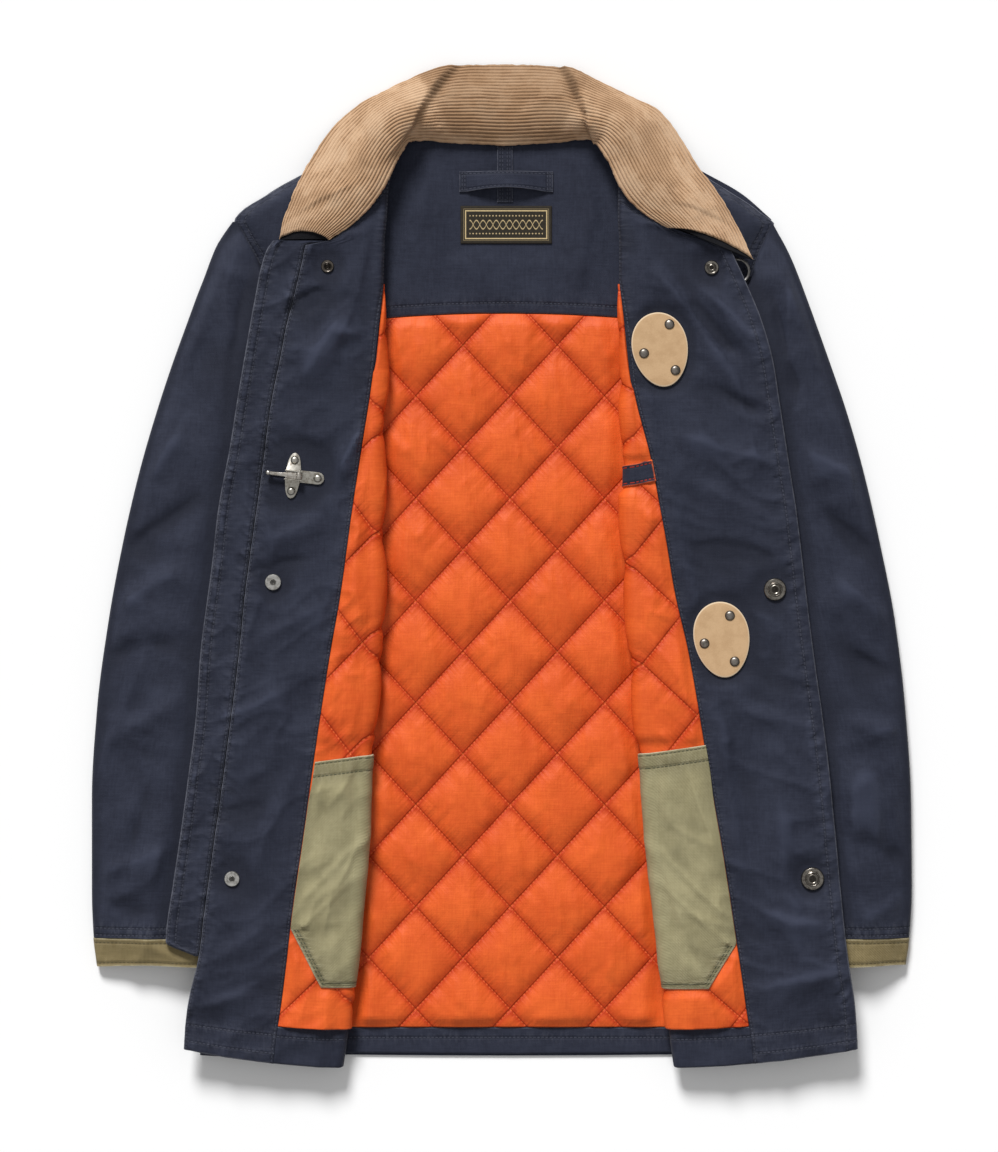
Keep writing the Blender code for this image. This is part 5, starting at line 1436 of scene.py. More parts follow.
@dataclass
class BreastWelt:
    """The narrow piped welt on the wearer's left lining."""

    finishes: Finishes
    low: float = 65.0
    high: float = 83.0
    tilt: float = 5.0
    thick: float = 0.9

    def build(self) -> None:
        """Build the welt on the lining, from inside the fold to the facing."""
        rail = Rail(Side.LEFT, levels(self.low, self.high, 1.6, (0.0, 0.4, 0.9)))
        start, stop = rail.bend * 0.5, rail.lining_end - SEAM
        length = spread(start, stop, 22, head=(0, 0.5), tail=(0, 0.5))
        base = CLOTH + LINING_GAP + FRONT_LINING_FLAT + SEAM
        y = rail.y + 0.0 * length
        top = base + self.thick - 0.4 * rolled(np.minimum(y - self.low, self.high - y), 0.9)
        top = top + 0.5 * np.exp(-((y - self.low - 1.2) / 0.8) ** 2)
        top = top + 0.5 * np.exp(-((self.high - y - 1.2) / 0.8) ** 2)
        face, under = rail.place(length, top), rail.place(length, base)
        rise = self.tilt * (length - start) / (stop - start)
        face[:, :, 1] += rise
        under[:, :, 1] += rise
        piece = Piece("breast_welt_canvas", "breast_welt", "navy_inside", face, under, {
            "Cloth": (rail.unrolled(length), y), "Edge": (stop - length, length - start),
            "Hem": (y - self.low, self.high - y)})
        piece.lay(self.finishes["breast welt canvas"], Hold.FOLDED)


# ---------------------------------------------------------------- the back

@dataclass
class Back:
    """The back of the jacket, seen inside: canvas, yoke facing, quilting and hem."""

    finishes: Finishes
    puff: float = 6.2
    bottom: float = -405.0
    shoulder: float = 289.0
    hem_half: float = 236.0
    hem_bottom: float = -406.6
    side_margin: float = 20.0

    def build(self) -> None:
        """Build every piece of the back."""
        self.canvas()
        self.yoke()
        self.lining()
        self.hem()

    def yoke_edge(self, x: Grid) -> Grid:
        """The seam between the yoke facing and the lining."""
        return YOKE_EDGE - YOKE_EDGE_DROP * np.minimum(1.0, (x / 100.0) ** 2)

    def canvas(self) -> None:
        """The outer canvas, flat on the table."""
        share = np.linspace(0, 1, 130)[:, None]
        side_y = self.bottom + (self.shoulder - self.bottom) * share
        u = np.sin(np.linspace(-1, 1, 72) * math.pi / 2)[None, :]
        x = u * BACK_SIDE.read("half", side_y)
        top = BACK_TOP.read("y", np.abs(u) * 222.0) - self.shoulder
        y = side_y + top * share**3 - (1 - share) ** 3 * 3.0 * (1 - u * u)
        face, under = points(x, y, CLOTH), points(x, y, 0.0)
        half = BACK_SIDE.read("half", side_y)
        piece = Piece("back_outer_canvas", "back_outer", "navy", face, under, {
            "Cloth": (x, y), "Edge": (half - np.abs(x), y - y.min()),
            "Hem": (y - y.min(), y.max() - y)})
        piece.lay(self.finishes["navy canvas"], Hold.LAID)

    def yoke(self) -> None:
        """The canvas facing inside the neck and shoulders."""
        u = np.linspace(-1, 1, 112)[None, :]
        share = levels(0.0, 1.0, 0.022, (0.0, 0.004, 0.01, 0.018))
        x = u * (160.0 + 8.0 * share)
        low = self.yoke_edge(x)
        high = YOKE_TOP.read("y", np.abs(x))
        y = low + (high - low) * share
        base = CLOTH + SEAM
        edge = np.minimum(y - low, high - y)
        calm = ease(np.maximum(np.abs(x) - 44, np.abs(y - 309) - 46), 0, 12)
        rumple = np.maximum(0, 0.5 + 0.8 * ruffle(x, y, 46, 12.0))
        for crease in YOKE_CREASES:
            rumple = rumple + np.maximum(0, crease.lift(x, y))
        rumple = rumple + 1.1 * folds(x + 0.3 * y, 0.4 * y, 44, 14.0)
        lift = 1.05 * rumple * calm * ease(edge, 0, 14)
        top = base + CLOTH - 0.8 * rolled(y - low, 1.4) + lift
        face, under = points(x, y, top), points(x, y, np.minimum(base + lift, top - 0.4))
        piece = Piece("back_yoke_facing_canvas", "back_yoke_facing", "navy_inside", face, under,
                      {"Cloth": (x, y), "Edge": (y - low, high - y),
                       "Hem": (high - y, y - low)})
        piece.lay(self.finishes["navy lining canvas"], Hold.LAID)

    def lining(self) -> None:
        """The quilted lining between the side seams."""
        reach = FRONTS[Side.RIGHT].read("side", np.array([HEM_TOP]))[0] - self.side_margin
        share = levels(HEM_TOP, YOKE_EDGE, 2.5, (0.0, 0.5, 1.2))
        x = np.concatenate([np.linspace(-1, -0.56, 9)[:-1] * reach,
                            np.linspace(-0.56, 0.56, 108) * reach,
                            np.linspace(0.56, 1, 9)[1:] * reach])[None, :]
        high = self.yoke_edge(x) - 0.5
        at = (share - HEM_TOP) / (YOKE_EDGE - HEM_TOP)
        y = HEM_TOP + (high - HEM_TOP) * at
        x = x + 0.0 * y
        side = FRONTS[Side.RIGHT].read("side", y) - self.side_margin
        x = x * np.where(np.abs(x) > 130, side / reach, 1.0)
        base = CLOTH + SEAM
        shown = ease(-np.abs(x), -132, -112)
        fold = np.where(x < 0, FRONTS[Side.RIGHT].read("fold", y),
                        FRONTS[Side.LEFT].read("fold", y))
        puff = self.puff * (0.52 + 0.48 * ease(fold - np.abs(x), 1, 13)) * shown
        edge = np.minimum(y - HEM_TOP, high - y)
        full = BACK_LATTICE.fullness(x, y) * (0.3 + 0.7 * ease(edge, 0, 9))
        wrinkle = np.zeros_like(x)
        for crease in LINING_CREASES:
            wrinkle = wrinkle + np.maximum(0, crease.lift(x, y))
        wrinkle = wrinkle + 2.2 * folds(x, y * 0.25, 12, 38.0) * np.exp(-(high - y) / 9.0)
        wrinkle = wrinkle + 1.8 * folds(x * 1.5 + 0.2 * y, y * 0.3, 21, 33.0) * shown
        puff_high = puff * full * (1 + 0.16 * ruffle(x, y, 24, 31.0)) + wrinkle * full
        top = base + BACK_LINING_FLAT + puff_high - rolled(edge, 1.0)
        face, under = points(x, y, top), points(x, y, base)
        piece = Piece("back_lining_quilting", "back_lining", "orange", face, under, {
            "Cloth": (x, y), "Quilt": BACK_LATTICE.lines(x, y),
            "Edge": (edge, side - np.abs(x))})
        made = piece.build(self.finishes["orange quilting"])

    def hem(self) -> None:
        """The turned-up hem below the lining."""
        u = np.linspace(-1, 1, 96)[None, :]
        share = levels(0.0, 1.0, 0.09, (0.0, 0.02, 0.05, 0.09))
        x = u * self.hem_half
        low = self.hem_bottom + 2.0 * np.abs(u)
        high = HEM_TOP - SEAM
        y = low + (high - low) * share
        x = x + 0.0 * y
        base = CLOTH + SEAM
        lift = 0.35 * np.maximum(0, ruffle(x, y, 40, 22.0)) * ease(high - y, 0, 8)
        top = base + CLOTH - 0.8 * rolled(y - low, 1.6) - 0.6 * rolled(high - y, 1.2) + lift
        seam = np.exp(-((x + 1.0) / 1.1) ** 2)
        top = top - 0.6 * seam
        piece = Piece("back_hem_canvas", "back_hem", "navy_inside",
                      points(x, y, top), points(x, y, base),
                      {"Cloth": (x, y), "Edge": (high - y, y - low), "Hem": (y - low, high - y)})
        piece.lay(self.finishes["navy lining canvas"], Hold.LAID)


# ---------------------------------------------------------------- sleeves

@dataclass
class Sleeve:
    """One flattened sleeve and its cuff, under the folded-back front."""

    side: Side
    finishes: Finishes
    cuff_bottom: float = -332.5
    cuff_top: float = -309.2
    cloth: float = 1.3
    turn: float = 4.0
    clear: float = 4.0
    step_down: float = 22.0
    crest: tuple[float, float] = (0.25, 0.75)
    flap_clear: float = 3.0
    shown_after: float = 2.5
    rumple: float = 3.4

    def ring(self, y: Grid, grow: float, inset: float) -> tuple[Grid, Charts]:
        """Find the closed rings of the sleeve.

        Args:
            y: a column of heights.
            grow: how far the ring stands outside the sleeve's own.
            inset: how far it lies inside that.

        Returns:
            The points, the last column on the first, and the cloth's charts.
        """
        table, side = SLEEVES[self.side], self.side
        outer = table.read("outer", y) + grow
        inner = table.read("inner", y)
        low_in, high_in = table.read("low", y), table.read("high", y)
        high_out = table.read("outer_high", y)
        width = outer - inner
        turn = np.minimum(self.turn, width / 5)
        first, last = inner + turn, outer - turn
        span = last - first
        body = FRONTS[side].read("side", y)
        step = np.minimum(np.maximum(body + self.clear, first + span / 5), last - span / 5)
        ramp = np.minimum(self.step_down, (last - step) * 0.6)
        flap = FLY.read("outer", y) if side is Side.RIGHT else FRONTS[side].read("edge", y)
        crest = np.clip((flap + self.flap_clear - inner) / width, *self.crest)
        inset = np.minimum(inset, width / 7)

        def low(x: Grid) -> Grid:
            """The height of the lower cloth."""
            return low_in * np.clip((step + ramp - x) / ramp, 0.0, 1.0) + inset

        def creased(x: Grid) -> Grid:
            """How far the upper cloth stands up in creases where it shows."""
            yy = y + 0.0 * x
            crease = 0.8 * ruffle(x, yy, 60, 41.0 + side.value) + 0.4
            for one in SLEEVE_CREASES[side]:
                crease = crease + one.lift(x, yy)
            shown = ease(x - flap, self.shown_after, self.shown_after + 16)
            edge = ease(outer - x, 2, 16) * ease(table.rows[-1][0] - yy, 2, 26)
            if grow:
                crease = 0.35 * crease
            crease = crease + 1.0 * folds(x + 0.4 * yy, 0.4 * yy, 50, 43.0 + side.value)
            crease = crease + 0.5 * folds(0.4 * x, yy - 0.5 * x, 34, 47.0 + side.value)
            return crease * shown * edge * self.rumple

        def high(x: Grid) -> Grid:
            """The height of the upper cloth."""
            t = (x - inner) / width
            fall = np.clip((t - crest) / (1 - crest), 0.0, None)
            level = high_in + (high_out - high_in) * (3 * fall**2 - 2 * fall**3)
            return np.maximum(level + grow - inset + creased(x), low(x) + 0.3)

        go = np.linspace(0, 1, 30)[None, :]
        back = np.linspace(1, 0, 46)[None, :]
        bottom_x, top_x = first + span * go, first + span * back
        arc = np.linspace(-math.pi / 2, math.pi / 2, 9)[None, 1:-1]
        mid_out = (low(last) + high(last)) / 2
        half_out = (high(last) - low(last)) / 2
        mid_in = (low(first) + high(first)) / 2
        half_in = (high(first) - low(first)) / 2
        fold = turn - inset
        xs = np.concatenate([bottom_x, last + fold * np.cos(arc), top_x,
                             first - fold * np.cos(arc), bottom_x[:, :1]], axis=1)
        zs = np.concatenate([low(bottom_x), mid_out + half_out * np.sin(arc), high(top_x),
                             mid_in - half_in * np.sin(arc), low(bottom_x)[:, :1]], axis=1)
        ys = y + 0.0 * xs
        # Fold carries the crease height, from which the material paints highlight and shade.
        charts = {"Cloth": (xs - (inner + outer) / 2, ys), "Edge": (outer - xs, xs - inner),
                  "Hem": (ys - ys.min(), ys.max() - ys), "Fold": (creased(xs), 0.0 * xs)}
        return points(side.value * xs, ys, zs), charts

    def build(self) -> None:
        """Build the sleeve and the cuff."""
        label = self.side.label
        top = SLEEVES[self.side].rows[-1][0]
        for node, slot, finish, y, grow in (
                (f"sleeve_{label}", "navy", "navy sleeve canvas",
                 levels(self.cuff_top + 0.2, top, 4.2), 0.0),
                (f"cuff_{label}", "olive_brown", "olive brown canvas",
                 levels(self.cuff_bottom, self.cuff_top - 0.3, 2.4, (0.0, 0.4, 1.0)), SEAM)):
            face, charts = self.ring(y, grow, 0.0)
            under, _ = self.ring(y, grow, self.cloth)
            if grow:
                along = charts["Edge"][0] / charts["Edge"][0].max()
                wave = 0.8 * np.sin(along * 9.0 + self.side.value)
                low = 1 - ease(y, self.cuff_bottom, self.cuff_bottom + 14)
                for grid in (face, under):
                    grid[:, :, 1] += wave * low
            piece = Piece(f"{node}_canvas", node, slot, face, under, charts,
                          self.side is Side.LEFT, tube=True)
            piece.lay(self.finishes[finish], Hold.LAID)


# ---------------------------------------------------------------- collar

@dataclass
class Collar:
    """The corduroy collar rolled over its under collar, which is coloured near black as painted
    shade.
    """

    finishes: Finishes
    ribs: int = 24
    across: int = 6
    stations: int = 190
    measured: int = 70
    lower_measured: int = 12
    rise: float = 0.75
    top: float = 1.3
    stand_y: float = 387.6
    power: float = 0.85

    def surface(self, share: Grid, at: Grid) -> tuple[Grid, Grid]:
        """The collar's middle surface and its normals.

        Args:
            share: across the collar, 0 at its seam and 1 at its outer edge.
            at: along the collar, in rows of the table.

        Returns:
            Points and unit normals.
        """
        ax, ay, az, bx, by, bz, arch = (COLLAR.read(c, at) for c in COLLAR.columns.split()[1:])
        rise = arch * np.sin(math.pi * share**self.power)
        grid = points(ax + (bx - ax) * share, ay + (by - ay) * share,
                      az + (bz - az) * share + rise)
        along, over = np.gradient(grid, axis=0), np.gradient(grid, axis=1)
        normal = np.cross(over, along)
        normal = normal * np.sign(normal[:, :, 2:3] + 1e-9)
        return grid, normal / np.linalg.norm(normal, axis=2, keepdims=True)

    def run(self, grid: Grid, measured: int) -> Grid:
        """How far each station is along the collar, on one column of its grid."""
        steps = np.linalg.norm(np.diff(grid[:, measured:measured + 1], axis=0), axis=2)
        return np.concatenate([[[0.0]], np.cumsum(steps, axis=0)])

    def build(self) -> None:
        """Build the corduroy and the cloth beneath it."""
        rows = len(COLLAR.rows) - 1
        close = np.array([0.0, 0.02, 0.06, 0.13])
        at = np.concatenate([close, np.linspace(0.2, rows - 0.2, self.stations),
                             rows - close[::-1]])[:, None]
        share = np.linspace(0, 1, self.ribs * self.across + 1)[None, :]
        share = np.concatenate([share[:, :-1], [[0.994, 0.998, 1.0]]], axis=1)
        grid, normal = self.surface(share, at)
        length = self.run(grid, self.measured)
        from_end = np.minimum(length, length[-1] - length)
        wide = np.linalg.norm(grid[:, -1] - grid[:, 0], axis=1)[:, None]
        ribbed = share + 0.012 * ruffle(share * wide, length, 26, 71.0) * np.sin(math.pi * share)
        rib = np.abs(np.sin(math.pi * self.ribs * ribbed)) ** 0.75
        ruck = ruffle(share * wide, length, 34, 51.0)
        high = self.top + self.rise * rib * (1 + 0.25 * ruffle(share * wide, length, 9, 53.0))
        high = high + 1.3 * np.maximum(-0.6, ruck) * ease(from_end, 0, 20) * np.sin(
            math.pi * share) ** 0.5
        high = high - 1.3 * rolled((1 - share) * wide, 2.0) - 0.8 * rolled(from_end, 1.6)
        x, y = grid[:, :, 0], grid[:, :, 1]
        row = np.exp(-((y - self.stand_y) / 0.9) ** 2) * ease(-np.abs(x), -60, -52)
        high = high - 0.75 * row
        for crease in (*COLLAR_LAPS, *COLLAR_CREASES):
            high = high + crease.lift(x, y)
        high = np.maximum(high, 0.35)
        # The top's ends are drawn back to bare the under collar's painted shade.
        notch = 7.5 * np.sin(math.pi * share) ** 0.7 + 0.5 * ruffle(
            share * wide, length, 2.6, 57.0)
        pull = notch * (1 - ease(from_end, 0, 12))
        toward = np.gradient(grid, axis=0)
        toward = toward / np.linalg.norm(toward, axis=2, keepdims=True)
        toward = toward * np.where(length < length[-1] / 2, 1.0, -1.0)[:, :, None]
        over = (grid[:, -1:] - grid[:, :1]) / wide[:, :, None]
        frayed = 0.7 * ruffle(length * 1.0, 30.0 * (share > 0.5), 3.0, 59.0, 2) * (
            1 - ease(np.minimum(share, 1 - share) * wide, 0, 3.5))
        moved = toward * pull[:, :, None] + over * frayed[:, :, None]
        face = grid + normal * high[:, :, None] + moved
        under = grid + normal * np.minimum(0.0, high - 0.5)[:, :, None] + moved
        # Painted shade for the upright stand and painted shadow beside each lap line, carried to
        # the corduroy in the Rib map.
        shade = ease(-np.abs(x) + 0.6 * (y - 385), -66, -52) * ease(y, 352, 362)
        for lap in COLLAR_LAPS:
            off, left = lap.reach(x, y)
            off = off * np.sign(lap.x)
            shade = shade + 1.1 * left * np.exp(-((off - 2.0) / 2.6) ** 2)
        charts = {"Cloth": (share * wide, length + 0 * share), "Rib": (ribbed, shade)}
        piece = Piece("collar_top_corduroy", "collar_top", "corduroy", face, under, charts,
                      flip=True)
        piece.lay(self.finishes["tan corduroy"], Hold.FOLDED)
        self.lower()

    def lower(self) -> None:
        """Build the under collar, coloured near black as painted shade of the hollow under the
        collar's ends.
        """
        rows = len(COLLAR.rows) - 1
        at = np.linspace(0, rows, 150)[:, None]
        share = np.linspace(0, 1, 24)[None, :]
        grid, normal = self.surface(share, at)
        length = self.run(grid, self.lower_measured)
        wide = np.linalg.norm(grid[:, -1] - grid[:, 0], axis=1)[:, None]
        piece = Piece("collar_under_cloth", "collar_under", "navy", grid - normal * 0.6,
                      grid - normal * 1.8, {
                          "Cloth": (share * wide, length + 0 * share),
                          "Edge": ((1 - share) * wide + 1.0, share * wide)}, flip=True)
        piece.lay(self.finishes["under collar"], Hold.FOLDED)


# ---------------------------------------------------------------- neck trims

@dataclass
class NeckTrim:
    """The hanger loop, the tape under it and the woven label."""

    finishes: Finishes
    base: float = 2 * CLOTH + 2 * SEAM
    loop: tuple[float, float, float, float] = (-38.0, 40.0, 311.5, 328.5)
    tape: tuple[float, float, float, float] = (-6.5, 6.5, 303.0, 349.5)
    label: tuple[float, float, float, float] = (-37.0, 39.0, 268.5, 300.0)
    loop_rise: float = 8.0
    stitched: float = 5.0
    thin: float = 0.9

    def strip(self, name: str, node: str, slot: str, box: tuple[float, float, float, float],
              step: float, finish: str, shape: Callable[[Grid, Grid], tuple[Grid, Grid]],
              thick: float) -> None:
        """Build a small rectangle of cloth.

        Args:
            name: the piece's name.
            node: the node it stands for.
            slot: its material slot, kept on the piece and not used.
            box: its lowest and highest x, then y.
            step: the grid's step.
            finish: its material's name.
            shape: gives the lift and the shift in y at each place.
            thick: the cloth's thickness.
        """
        x0, x1, y0, y1 = box
        y = levels(y0, y1, step, (0.0, 0.3, 0.8))
        x = levels(x0, x1, step, (0.0, 0.3, 0.8)).T
        x, y = x + 0 * y, y + 0 * x
        from_long = np.minimum(y - y0, y1 - y)
        from_short = np.minimum(x - x0, x1 - x)
        lift, shift = shape(x, y)
        fall = 0.5 * rolled(np.minimum(from_long, from_short), 0.8)
        face = points(x, y + shift, self.base + thick + lift - fall)
        under = points(x, y + shift, self.base + lift)
        mid_x, mid_y = (x0 + x1) / 2, (y0 + y1) / 2
        piece = Piece(name, node, slot, face, under, {
            "Cloth": (x - mid_x, y - mid_y), "Edge": (from_long, from_short),
            "Hem": (from_short, from_long)})
        piece.lay(self.finishes[finish], Hold.LAID)

    def build(self) -> None:
        """Build the three trims."""
        def still(x: Grid, y: Grid) -> tuple[Grid, Grid]:
            """Lie nearly flat."""
            return 0.25 * np.maximum(0, ruffle(x, y, 18, 61.0)), 0.0 * x

        def bowed(x: Grid, y: Grid) -> tuple[Grid, Grid]:
            """Stand up in the middle, with the lower edge drawn in."""
            x0, x1, y0, y1 = self.loop
            free = np.clip((x - x0 - self.stitched) / (x1 - x0 - 2 * self.stitched), 0.0, 1.0)
            bow = np.sin(math.pi * free)
            low = (y1 - y) / (y1 - y0)
            return self.loop_rise * bow * (0.8 + 0.2 * low), 3.2 * bow * low

        self.strip("loop_tape_cloth", "loop_tape", "navy_inside", self.tape, 1.6,
                   "navy ribbed tape", still, self.thin)
        self.strip("neck_label_ribbon", "neck_label", "label", self.label, 1.5, "woven label",
                   still, self.thin)
        self.strip("hanger_loop_cloth", "hanger_loop", "navy", self.loop, 1.5,
                   "navy ribbed tape", bowed, CLOTH)


# ---------------------------------------------------------------- metal and leather

def turned(name: str, profile: Sequence[tuple[float, float]], centre: Sequence[float],
           finish: bpy.types.Material, reach: float, steps: int = 48,
           mould: Callable[[Vector], Vector] | None = None) -> bpy.types.Object:
    """Spin a profile into a closed round piece.

    Args:
        name: the piece's name.
        profile: radius and height in millimetres, from the middle of the top to the base.
        centre: where the base's middle goes, in millimetres.
        finish: its material.
        reach: the radius that counts as 1 on the piece's Disc map.
        steps: how many steps the spin takes.
        mould: moves each point of the round shape, for a shape that isn't round.

    Returns:
        The finished object.
    """
    bm = bmesh.new()
    verts = [bm.verts.new((r, 0.0, z)) for r, z in profile]
    edges = [bm.edges.new(pair) for pair in zip(verts, verts[1:])]
    bmesh.ops.spin(bm, geom=verts + edges, cent=(0, 0, 0), axis=(0, 0, 1),
                   angle=2 * math.pi, steps=steps, use_merge=True)
    bmesh.ops.remove_doubles(bm, verts=bm.verts, dist=1e-4)
    bmesh.ops.recalc_face_normals(bm, faces=bm.faces)
    disc = bm.loops.layers.uv.new("Disc")
    for face in bm.faces:
        for loop in face.loops:
            place = loop.vert.co
            loop[disc].uv = (place.xy.length / reach * MM, place.z * MM)
    for vert in bm.verts:
        if mould:
            vert.co = mould(vert.co)
        vert.co = (vert.co + Vector(centre)) * MM
    mesh = bpy.data.meshes.new(name)
    bm.to_mesh(mesh)
    bm.free()
    mesh.shade_smooth()
    mesh.set_sharp_from_angle(angle=TURNED_SHARP)
    made = link(name, mesh, finish)
    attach(made, JACKET)
    return made


class SnapStyle(Enum):
    """The two halves of a snap fastener: profiles in the snap's radius and rise."""

    STUD = ((0.0, 0.5), (0.1, 0.48), (0.16, 0.22), (0.3, 0.2), (0.34, 0.72), (0.38, 0.86),
            (0.46, 0.84), (0.6, 0.78), (0.72, 0.84), (0.84, 0.9), (0.92, 0.82), (0.97, 0.55),
            (1.0, 0.25), (1.0, 0.0), (0.0, 0.0))
    SOCKET = ((0.0, 0.42), (0.1, 0.4), (0.17, 0.28), (0.27, 0.28), (0.31, 0.82), (0.35, 0.9),
              (0.4, 0.82), (0.43, 0.52), (0.47, 0.5), (0.51, 0.88), (0.56, 1.0), (0.61, 0.9),
              (0.65, 0.62), (0.7, 0.58), (0.8, 0.74), (0.89, 0.76), (0.95, 0.6), (1.0, 0.25),
              (1.0, 0.0), (0.0, 0.0))


@dataclass(frozen=True)
class Snap:
    """One half of a snap fastener on a facing."""

    node: str
    side: Side
    x: float
    y: float
    radius: float
    rise: float
    style: SnapStyle
    finish: str
    slot: str

    def build(self, finishes: Finishes) -> None:
        """Spin the snap where its node is."""
        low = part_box(self.node)[0]
        profile = [(r * self.radius, z * self.rise) for r, z in self.style.value]
        made = turned(f"{self.node}_ring", profile,
                      (self.side.value * self.x, self.y, low[2] / MM), finishes[self.finish],
                      self.radius, 56)
        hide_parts(self.node)


SNAPS = (
    Snap("snap_top_right", Side.RIGHT, 147, 248, 5.4, 1.6, SnapStyle.SOCKET, "dark ring",
         "gunmetal"),
    Snap("snap_middle_right", Side.RIGHT, 192, -13.5, 6.9, 1.9, SnapStyle.STUD, "nickel ring",
         "nickel"),
    Snap("snap_bottom_right", Side.RIGHT, 226, -259, 6.5, 1.9, SnapStyle.STUD, "nickel ring",
         "nickel"),
    Snap("snap_top_left", Side.LEFT, 171, 247, 6.0, 1.8, SnapStyle.SOCKET, "gunmetal ring",
         "gunmetal"),
    Snap("snap_middle_left", Side.LEFT, 223.5, -19.5, 9.4, 2.6, SnapStyle.SOCKET,
         "gunmetal ring", "gunmetal"),
    Snap("snap_bottom_left", Side.LEFT, 254.5, -259, 9.7, 2.6, SnapStyle.SOCKET,
         "gunmetal ring", "gunmetal"),
)
RIVET = ((0.0, 1.5), (0.2, 1.47), (0.4, 1.36), (0.58, 1.16), (0.72, 0.88), (0.8, 0.58),
         (0.84, 0.3), (0.9, 0.24), (0.96, 0.3), (1.0, 0.18), (1.0, 0.0), (0.0, 0.0))


def rivet(node: str, radius: float, spot: Sequence[float], finish: bpy.types.Material) -> None:
    """Spin a rivet's head where its node is."""
    made = turned(f"{node}_head", [(r * radius, z) for r, z in RIVET], spot, finish, radius, 32)
    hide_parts(node)


@dataclass(frozen=True)
class Patch:
    """A suede patch held by three rivets."""

    node: str
    x: float
    y: float
    half_width: float
    half_height: float
    lean: float
    rivets: tuple[tuple[float, float], ...]
    thick: float = 1.8
    egg: float = 0.1

    def mould(self, place: Vector) -> Vector:
        """Turn a point of a round disc of radius 1 into a point of the egg-shaped patch."""
        reach = place.xy.length
        angle = math.atan2(place.y, place.x)
        x = reach * self.half_width * math.cos(angle) * (1 + self.egg * math.sin(angle))
        y = reach * self.half_height * math.sin(angle)
        lean = math.radians(self.lean)
        return Vector((x * math.cos(lean) - y * math.sin(lean),
                       x * math.sin(lean) + y * math.cos(lean), place.z))

    def build(self, finishes: Finishes) -> None:
        """Build the patch and its rivets."""
        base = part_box(self.node)[0][2] / MM
        rings = [(r, self.thick - 0.25 * r**6) for r in np.linspace(0, 0.96, 16)]
        rings += [(0.985, self.thick - 0.32), (0.997, self.thick - 0.6), (1.0, self.thick - 1.0),
                  (1.0, 0.0), (0.0, 0.0)]
        made = turned(f"{self.node}_suede", rings, (self.x, self.y, base),
                      finishes["tan suede"], 1.0, 96, self.mould)
        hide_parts(self.node)
        for n, (x, y) in enumerate(self.rivets, 1):
            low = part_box(f"{self.node}_rivet_{n}")[0]
            rivet(f"{self.node}_rivet_{n}", 4.1, (x, y, low[2] / MM),
                  finishes["gunmetal rivet"])


PATCHES = (
    Patch("patch_upper", 128.5, 179.0, 23.0, 31.0, 10.0, ((136, 200), (115, 176), (141, 162))),
    Patch("patch_lower", 179.5, -61.0, 23.0, 31.5, 8.0, ((186, -41), (165, -64), (190, -79))),
)


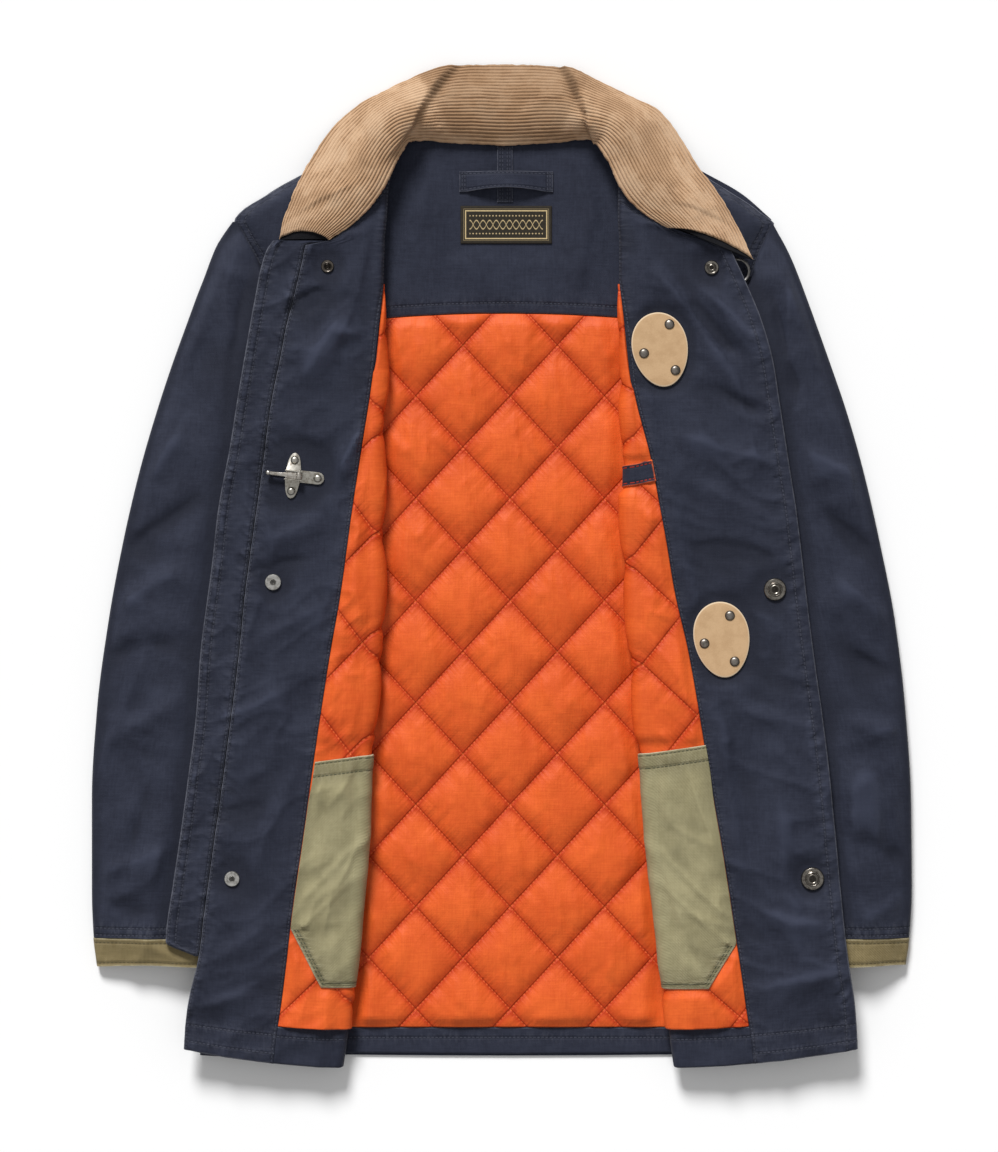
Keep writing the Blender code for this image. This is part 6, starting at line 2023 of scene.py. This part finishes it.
@dataclass
class Fittings:
    """The clasp, its rivets, the edge ring and the ring's tab."""

    finishes: Finishes
    rivet_radius: float = 3.4
    bevel: float = 0.28
    bevel_from: float = math.radians(32)
    flat_within: float = math.radians(2)
    arm_start: float = 5.0
    arm_length: float = 12.0
    arm_taper: float = 0.34

    def build(self) -> None:
        """Dress the metal nodes with softened copies of themselves."""
        self.soften("clasp_plate", "worn nickel", JACKET)
        self.soften("clasp_lever", "bright nickel", "clasp_lever")
        self.soften("edge_ring", "gunmetal", JACKET, bevel=0.0)
        for n in (1, 2, 3):
            low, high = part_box(f"clasp_rivet_{n}")
            spot = [(a + b) / 2 / MM for a, b in zip(low, high)]
            rivet(f"clasp_rivet_{n}", self.rivet_radius, (spot[0], spot[1], low[2] / MM),
                  self.finishes["nickel rivet"])
        self.tab()

    def narrowed(self, place: Vector) -> Vector:
        """Draw in the ends of the clasp plate's two riveted arms, which lie in one line.

        Args:
            place: a point of the plate, in metres.

        Returns:
            The point, nearer to the arms' line by the taper.
        """
        first, second = (sum((Vector(p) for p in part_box(f"clasp_rivet_{n}")), Vector()) / 2
                         for n in (1, 2))
        line = (second - first).xy.normalized()
        side = Vector((-line.y, line.x))
        away = (place - (first + second) / 2).xy
        along, across = away.dot(line), away.dot(side)
        reach = (abs(along) / MM - self.arm_start) / self.arm_length
        shrink = self.arm_taper * min(1.0, max(0.0, reach)) * across
        return place - Vector((side.x * shrink, side.y * shrink, 0.0))

    def soften(self, node: str, finish: str, body: str, bevel: float | None = None
               ) -> None:
        """Copy a node's mesh, join its loose triangles and round its edges.

        Args:
            node: the node.
            finish: the material's name.
            body: the body that it moves with.
            bevel: how wide the rounded edges are, in millimetres.
        """
        width = self.bevel if bevel is None else bevel
        bm = bmesh.new()
        bm.from_mesh(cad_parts[node].data)
        bmesh.ops.remove_doubles(bm, verts=bm.verts, dist=2e-6)
        bmesh.ops.dissolve_limit(bm, angle_limit=self.flat_within, verts=bm.verts,
                                edges=bm.edges)
        if width:
            sharp = [e for e in bm.edges if len(e.link_faces) == 2
                     and e.calc_face_angle(0.0) > self.bevel_from]
            bmesh.ops.bevel(bm, geom=sharp, offset=width * MM, segments=2, profile=0.5,
                            affect="EDGES", material=-1, clamp_overlap=True)
        if node == "clasp_plate":
            for vert in bm.verts:
                vert.co = self.narrowed(vert.co)
        mesh = bpy.data.meshes.new(f"{node}_metal")
        bm.to_mesh(mesh)
        bm.free()
        mesh.shade_smooth()
        mesh.set_sharp_from_angle(angle=METAL_SHARP)
        made = link(f"{node}_metal", mesh, self.finishes[finish])
        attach(made, body)
        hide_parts(node)

    def tab(self) -> None:
        """The strap of cloth led round the ring's straight bar."""
        centre = (183.5, 244.5, 17.9)
        clear, reach, half, thick = 1.55, 16.0, 6.0, 0.6
        arc = np.linspace(-math.pi / 2, math.pi / 2, 13)
        xs = np.concatenate([np.linspace(-reach, -0.8, 8), clear * np.cos(arc),
                             np.linspace(-0.8, -reach, 8)])
        hs = np.concatenate([np.full(8, -clear), clear * np.sin(arc), np.full(8, clear)])
        out_x = np.where(xs > 0, xs * (clear + thick) / clear, xs)
        out_h = hs * (clear + thick) / clear
        y = column(np.linspace(-half, half, 10))
        shape = 0.0 * y + 0.0 * xs[None, :]
        face = points(centre[0] + out_x, centre[1] + y, centre[2] + out_h)
        under = points(centre[0] + xs, centre[1] + y, centre[2] + hs)
        steps = np.concatenate([[0.0], np.cumsum(np.hypot(np.diff(out_x), np.diff(out_h)))])
        edge = half - np.abs(y) + shape
        piece = Piece("edge_ring_tab_canvas", "edge_ring_tab", "navy", face, under, {
            "Cloth": (steps[None, :] + shape, y + shape), "Edge": (edge, edge)}, flip=True)
        piece.lay(self.finishes["navy canvas"], Hold.FOLDED)


# ---------------------------------------------------------------- the set

@dataclass
class Studio:
    """Pale floor, soft lights and the camera straight above."""

    centre: tuple[float, float] = (-4.98, -8.3)
    seen_height: float = 956.2
    plane: float = 15.0
    distance: float = 3200.0
    sensor: float = 36.0
    floor_half: float = 4.0
    key_elevation: float = 34.0
    key_azimuth: float = -14.0
    key_strength: float = 3.75
    fill_strength: float = 0.25
    world_strength: float = 0.33

    def build(self) -> None:
        """Make the floor, the lights, the world and the camera."""
        scene = bpy.context.scene
        scene.view_settings.view_transform = "Standard"
        bm = bmesh.new()
        bmesh.ops.create_grid(bm, x_segments=1, y_segments=1, size=self.floor_half)
        bmesh.ops.translate(bm, vec=(0, 0, -0.0003), verts=bm.verts)
        mesh = bpy.data.meshes.new("floor")
        bm.to_mesh(mesh)
        bm.free()
        net = Net("pale floor")
        tone = net.noise(net.place(), 900, 2)
        floor = link("floor", mesh, net.surface(
            Base_Color=net.blend(tone, (0.93, 0.93, 0.93), (0.95, 0.95, 0.95)), Roughness=0.9))
        self.light("key", self.key_elevation, self.key_azimuth, self.key_strength, 18.0)
        self.light("fill", 66.0, 205.0, self.fill_strength, 80.0)
        world = bpy.data.worlds.new("studio")
        world.use_nodes = True
        sky = world.node_tree.nodes["Background"]
        sky.inputs["Color"].default_value = (1, 1, 1, 1)
        sky.inputs["Strength"].default_value = self.world_strength
        scene.world = world
        camera = bpy.data.cameras.new("camera")
        camera.sensor_fit, camera.sensor_height = "VERTICAL", self.sensor
        camera.lens = self.sensor * self.distance / self.seen_height
        camera.clip_end = 50.0
        eye = bpy.data.objects.new("camera", camera)
        eye.location = (self.centre[0] * MM, self.centre[1] * MM,
                        (self.distance + self.plane) * MM)
        scene.collection.objects.link(eye)
        scene.camera = eye

    def light(self, name: str, elevation: float, azimuth: float, strength: float, soft: float
              ) -> None:
        """Add a broad light that shines from an elevation and an azimuth, 0 from +Y."""
        lamp = bpy.data.lights.new(name, "SUN")
        lamp.energy, lamp.angle = strength, math.radians(soft)
        made = bpy.data.objects.new(name, lamp)
        up, turn = math.radians(elevation), math.radians(azimuth)
        source = Vector((math.cos(up) * math.sin(turn), math.cos(up) * math.cos(turn),
                         math.sin(up)))
        made.rotation_euler = source.to_track_quat("Z", "Y").to_euler()
        bpy.context.scene.collection.objects.link(made)


def main() -> None:
    """Build the set and every piece of the jacket in order."""
    logging.basicConfig(level=logging.INFO, format="%(message)s")
    Studio().build()
    finishes = make_finishes()
    Back(finishes).build()
    for side in Side:
        Sleeve(side, finishes).build()
        Front(side, finishes).build()
    FlyStrip(finishes).build()
    BreastWelt(finishes).build()
    Collar(finishes).build()
    NeckTrim(finishes).build()
    for snap in SNAPS:
        snap.build(finishes)
    for patch in PATCHES:
        patch.build(finishes)
    Fittings(finishes).build()


if __name__ == "__main__":
    main()
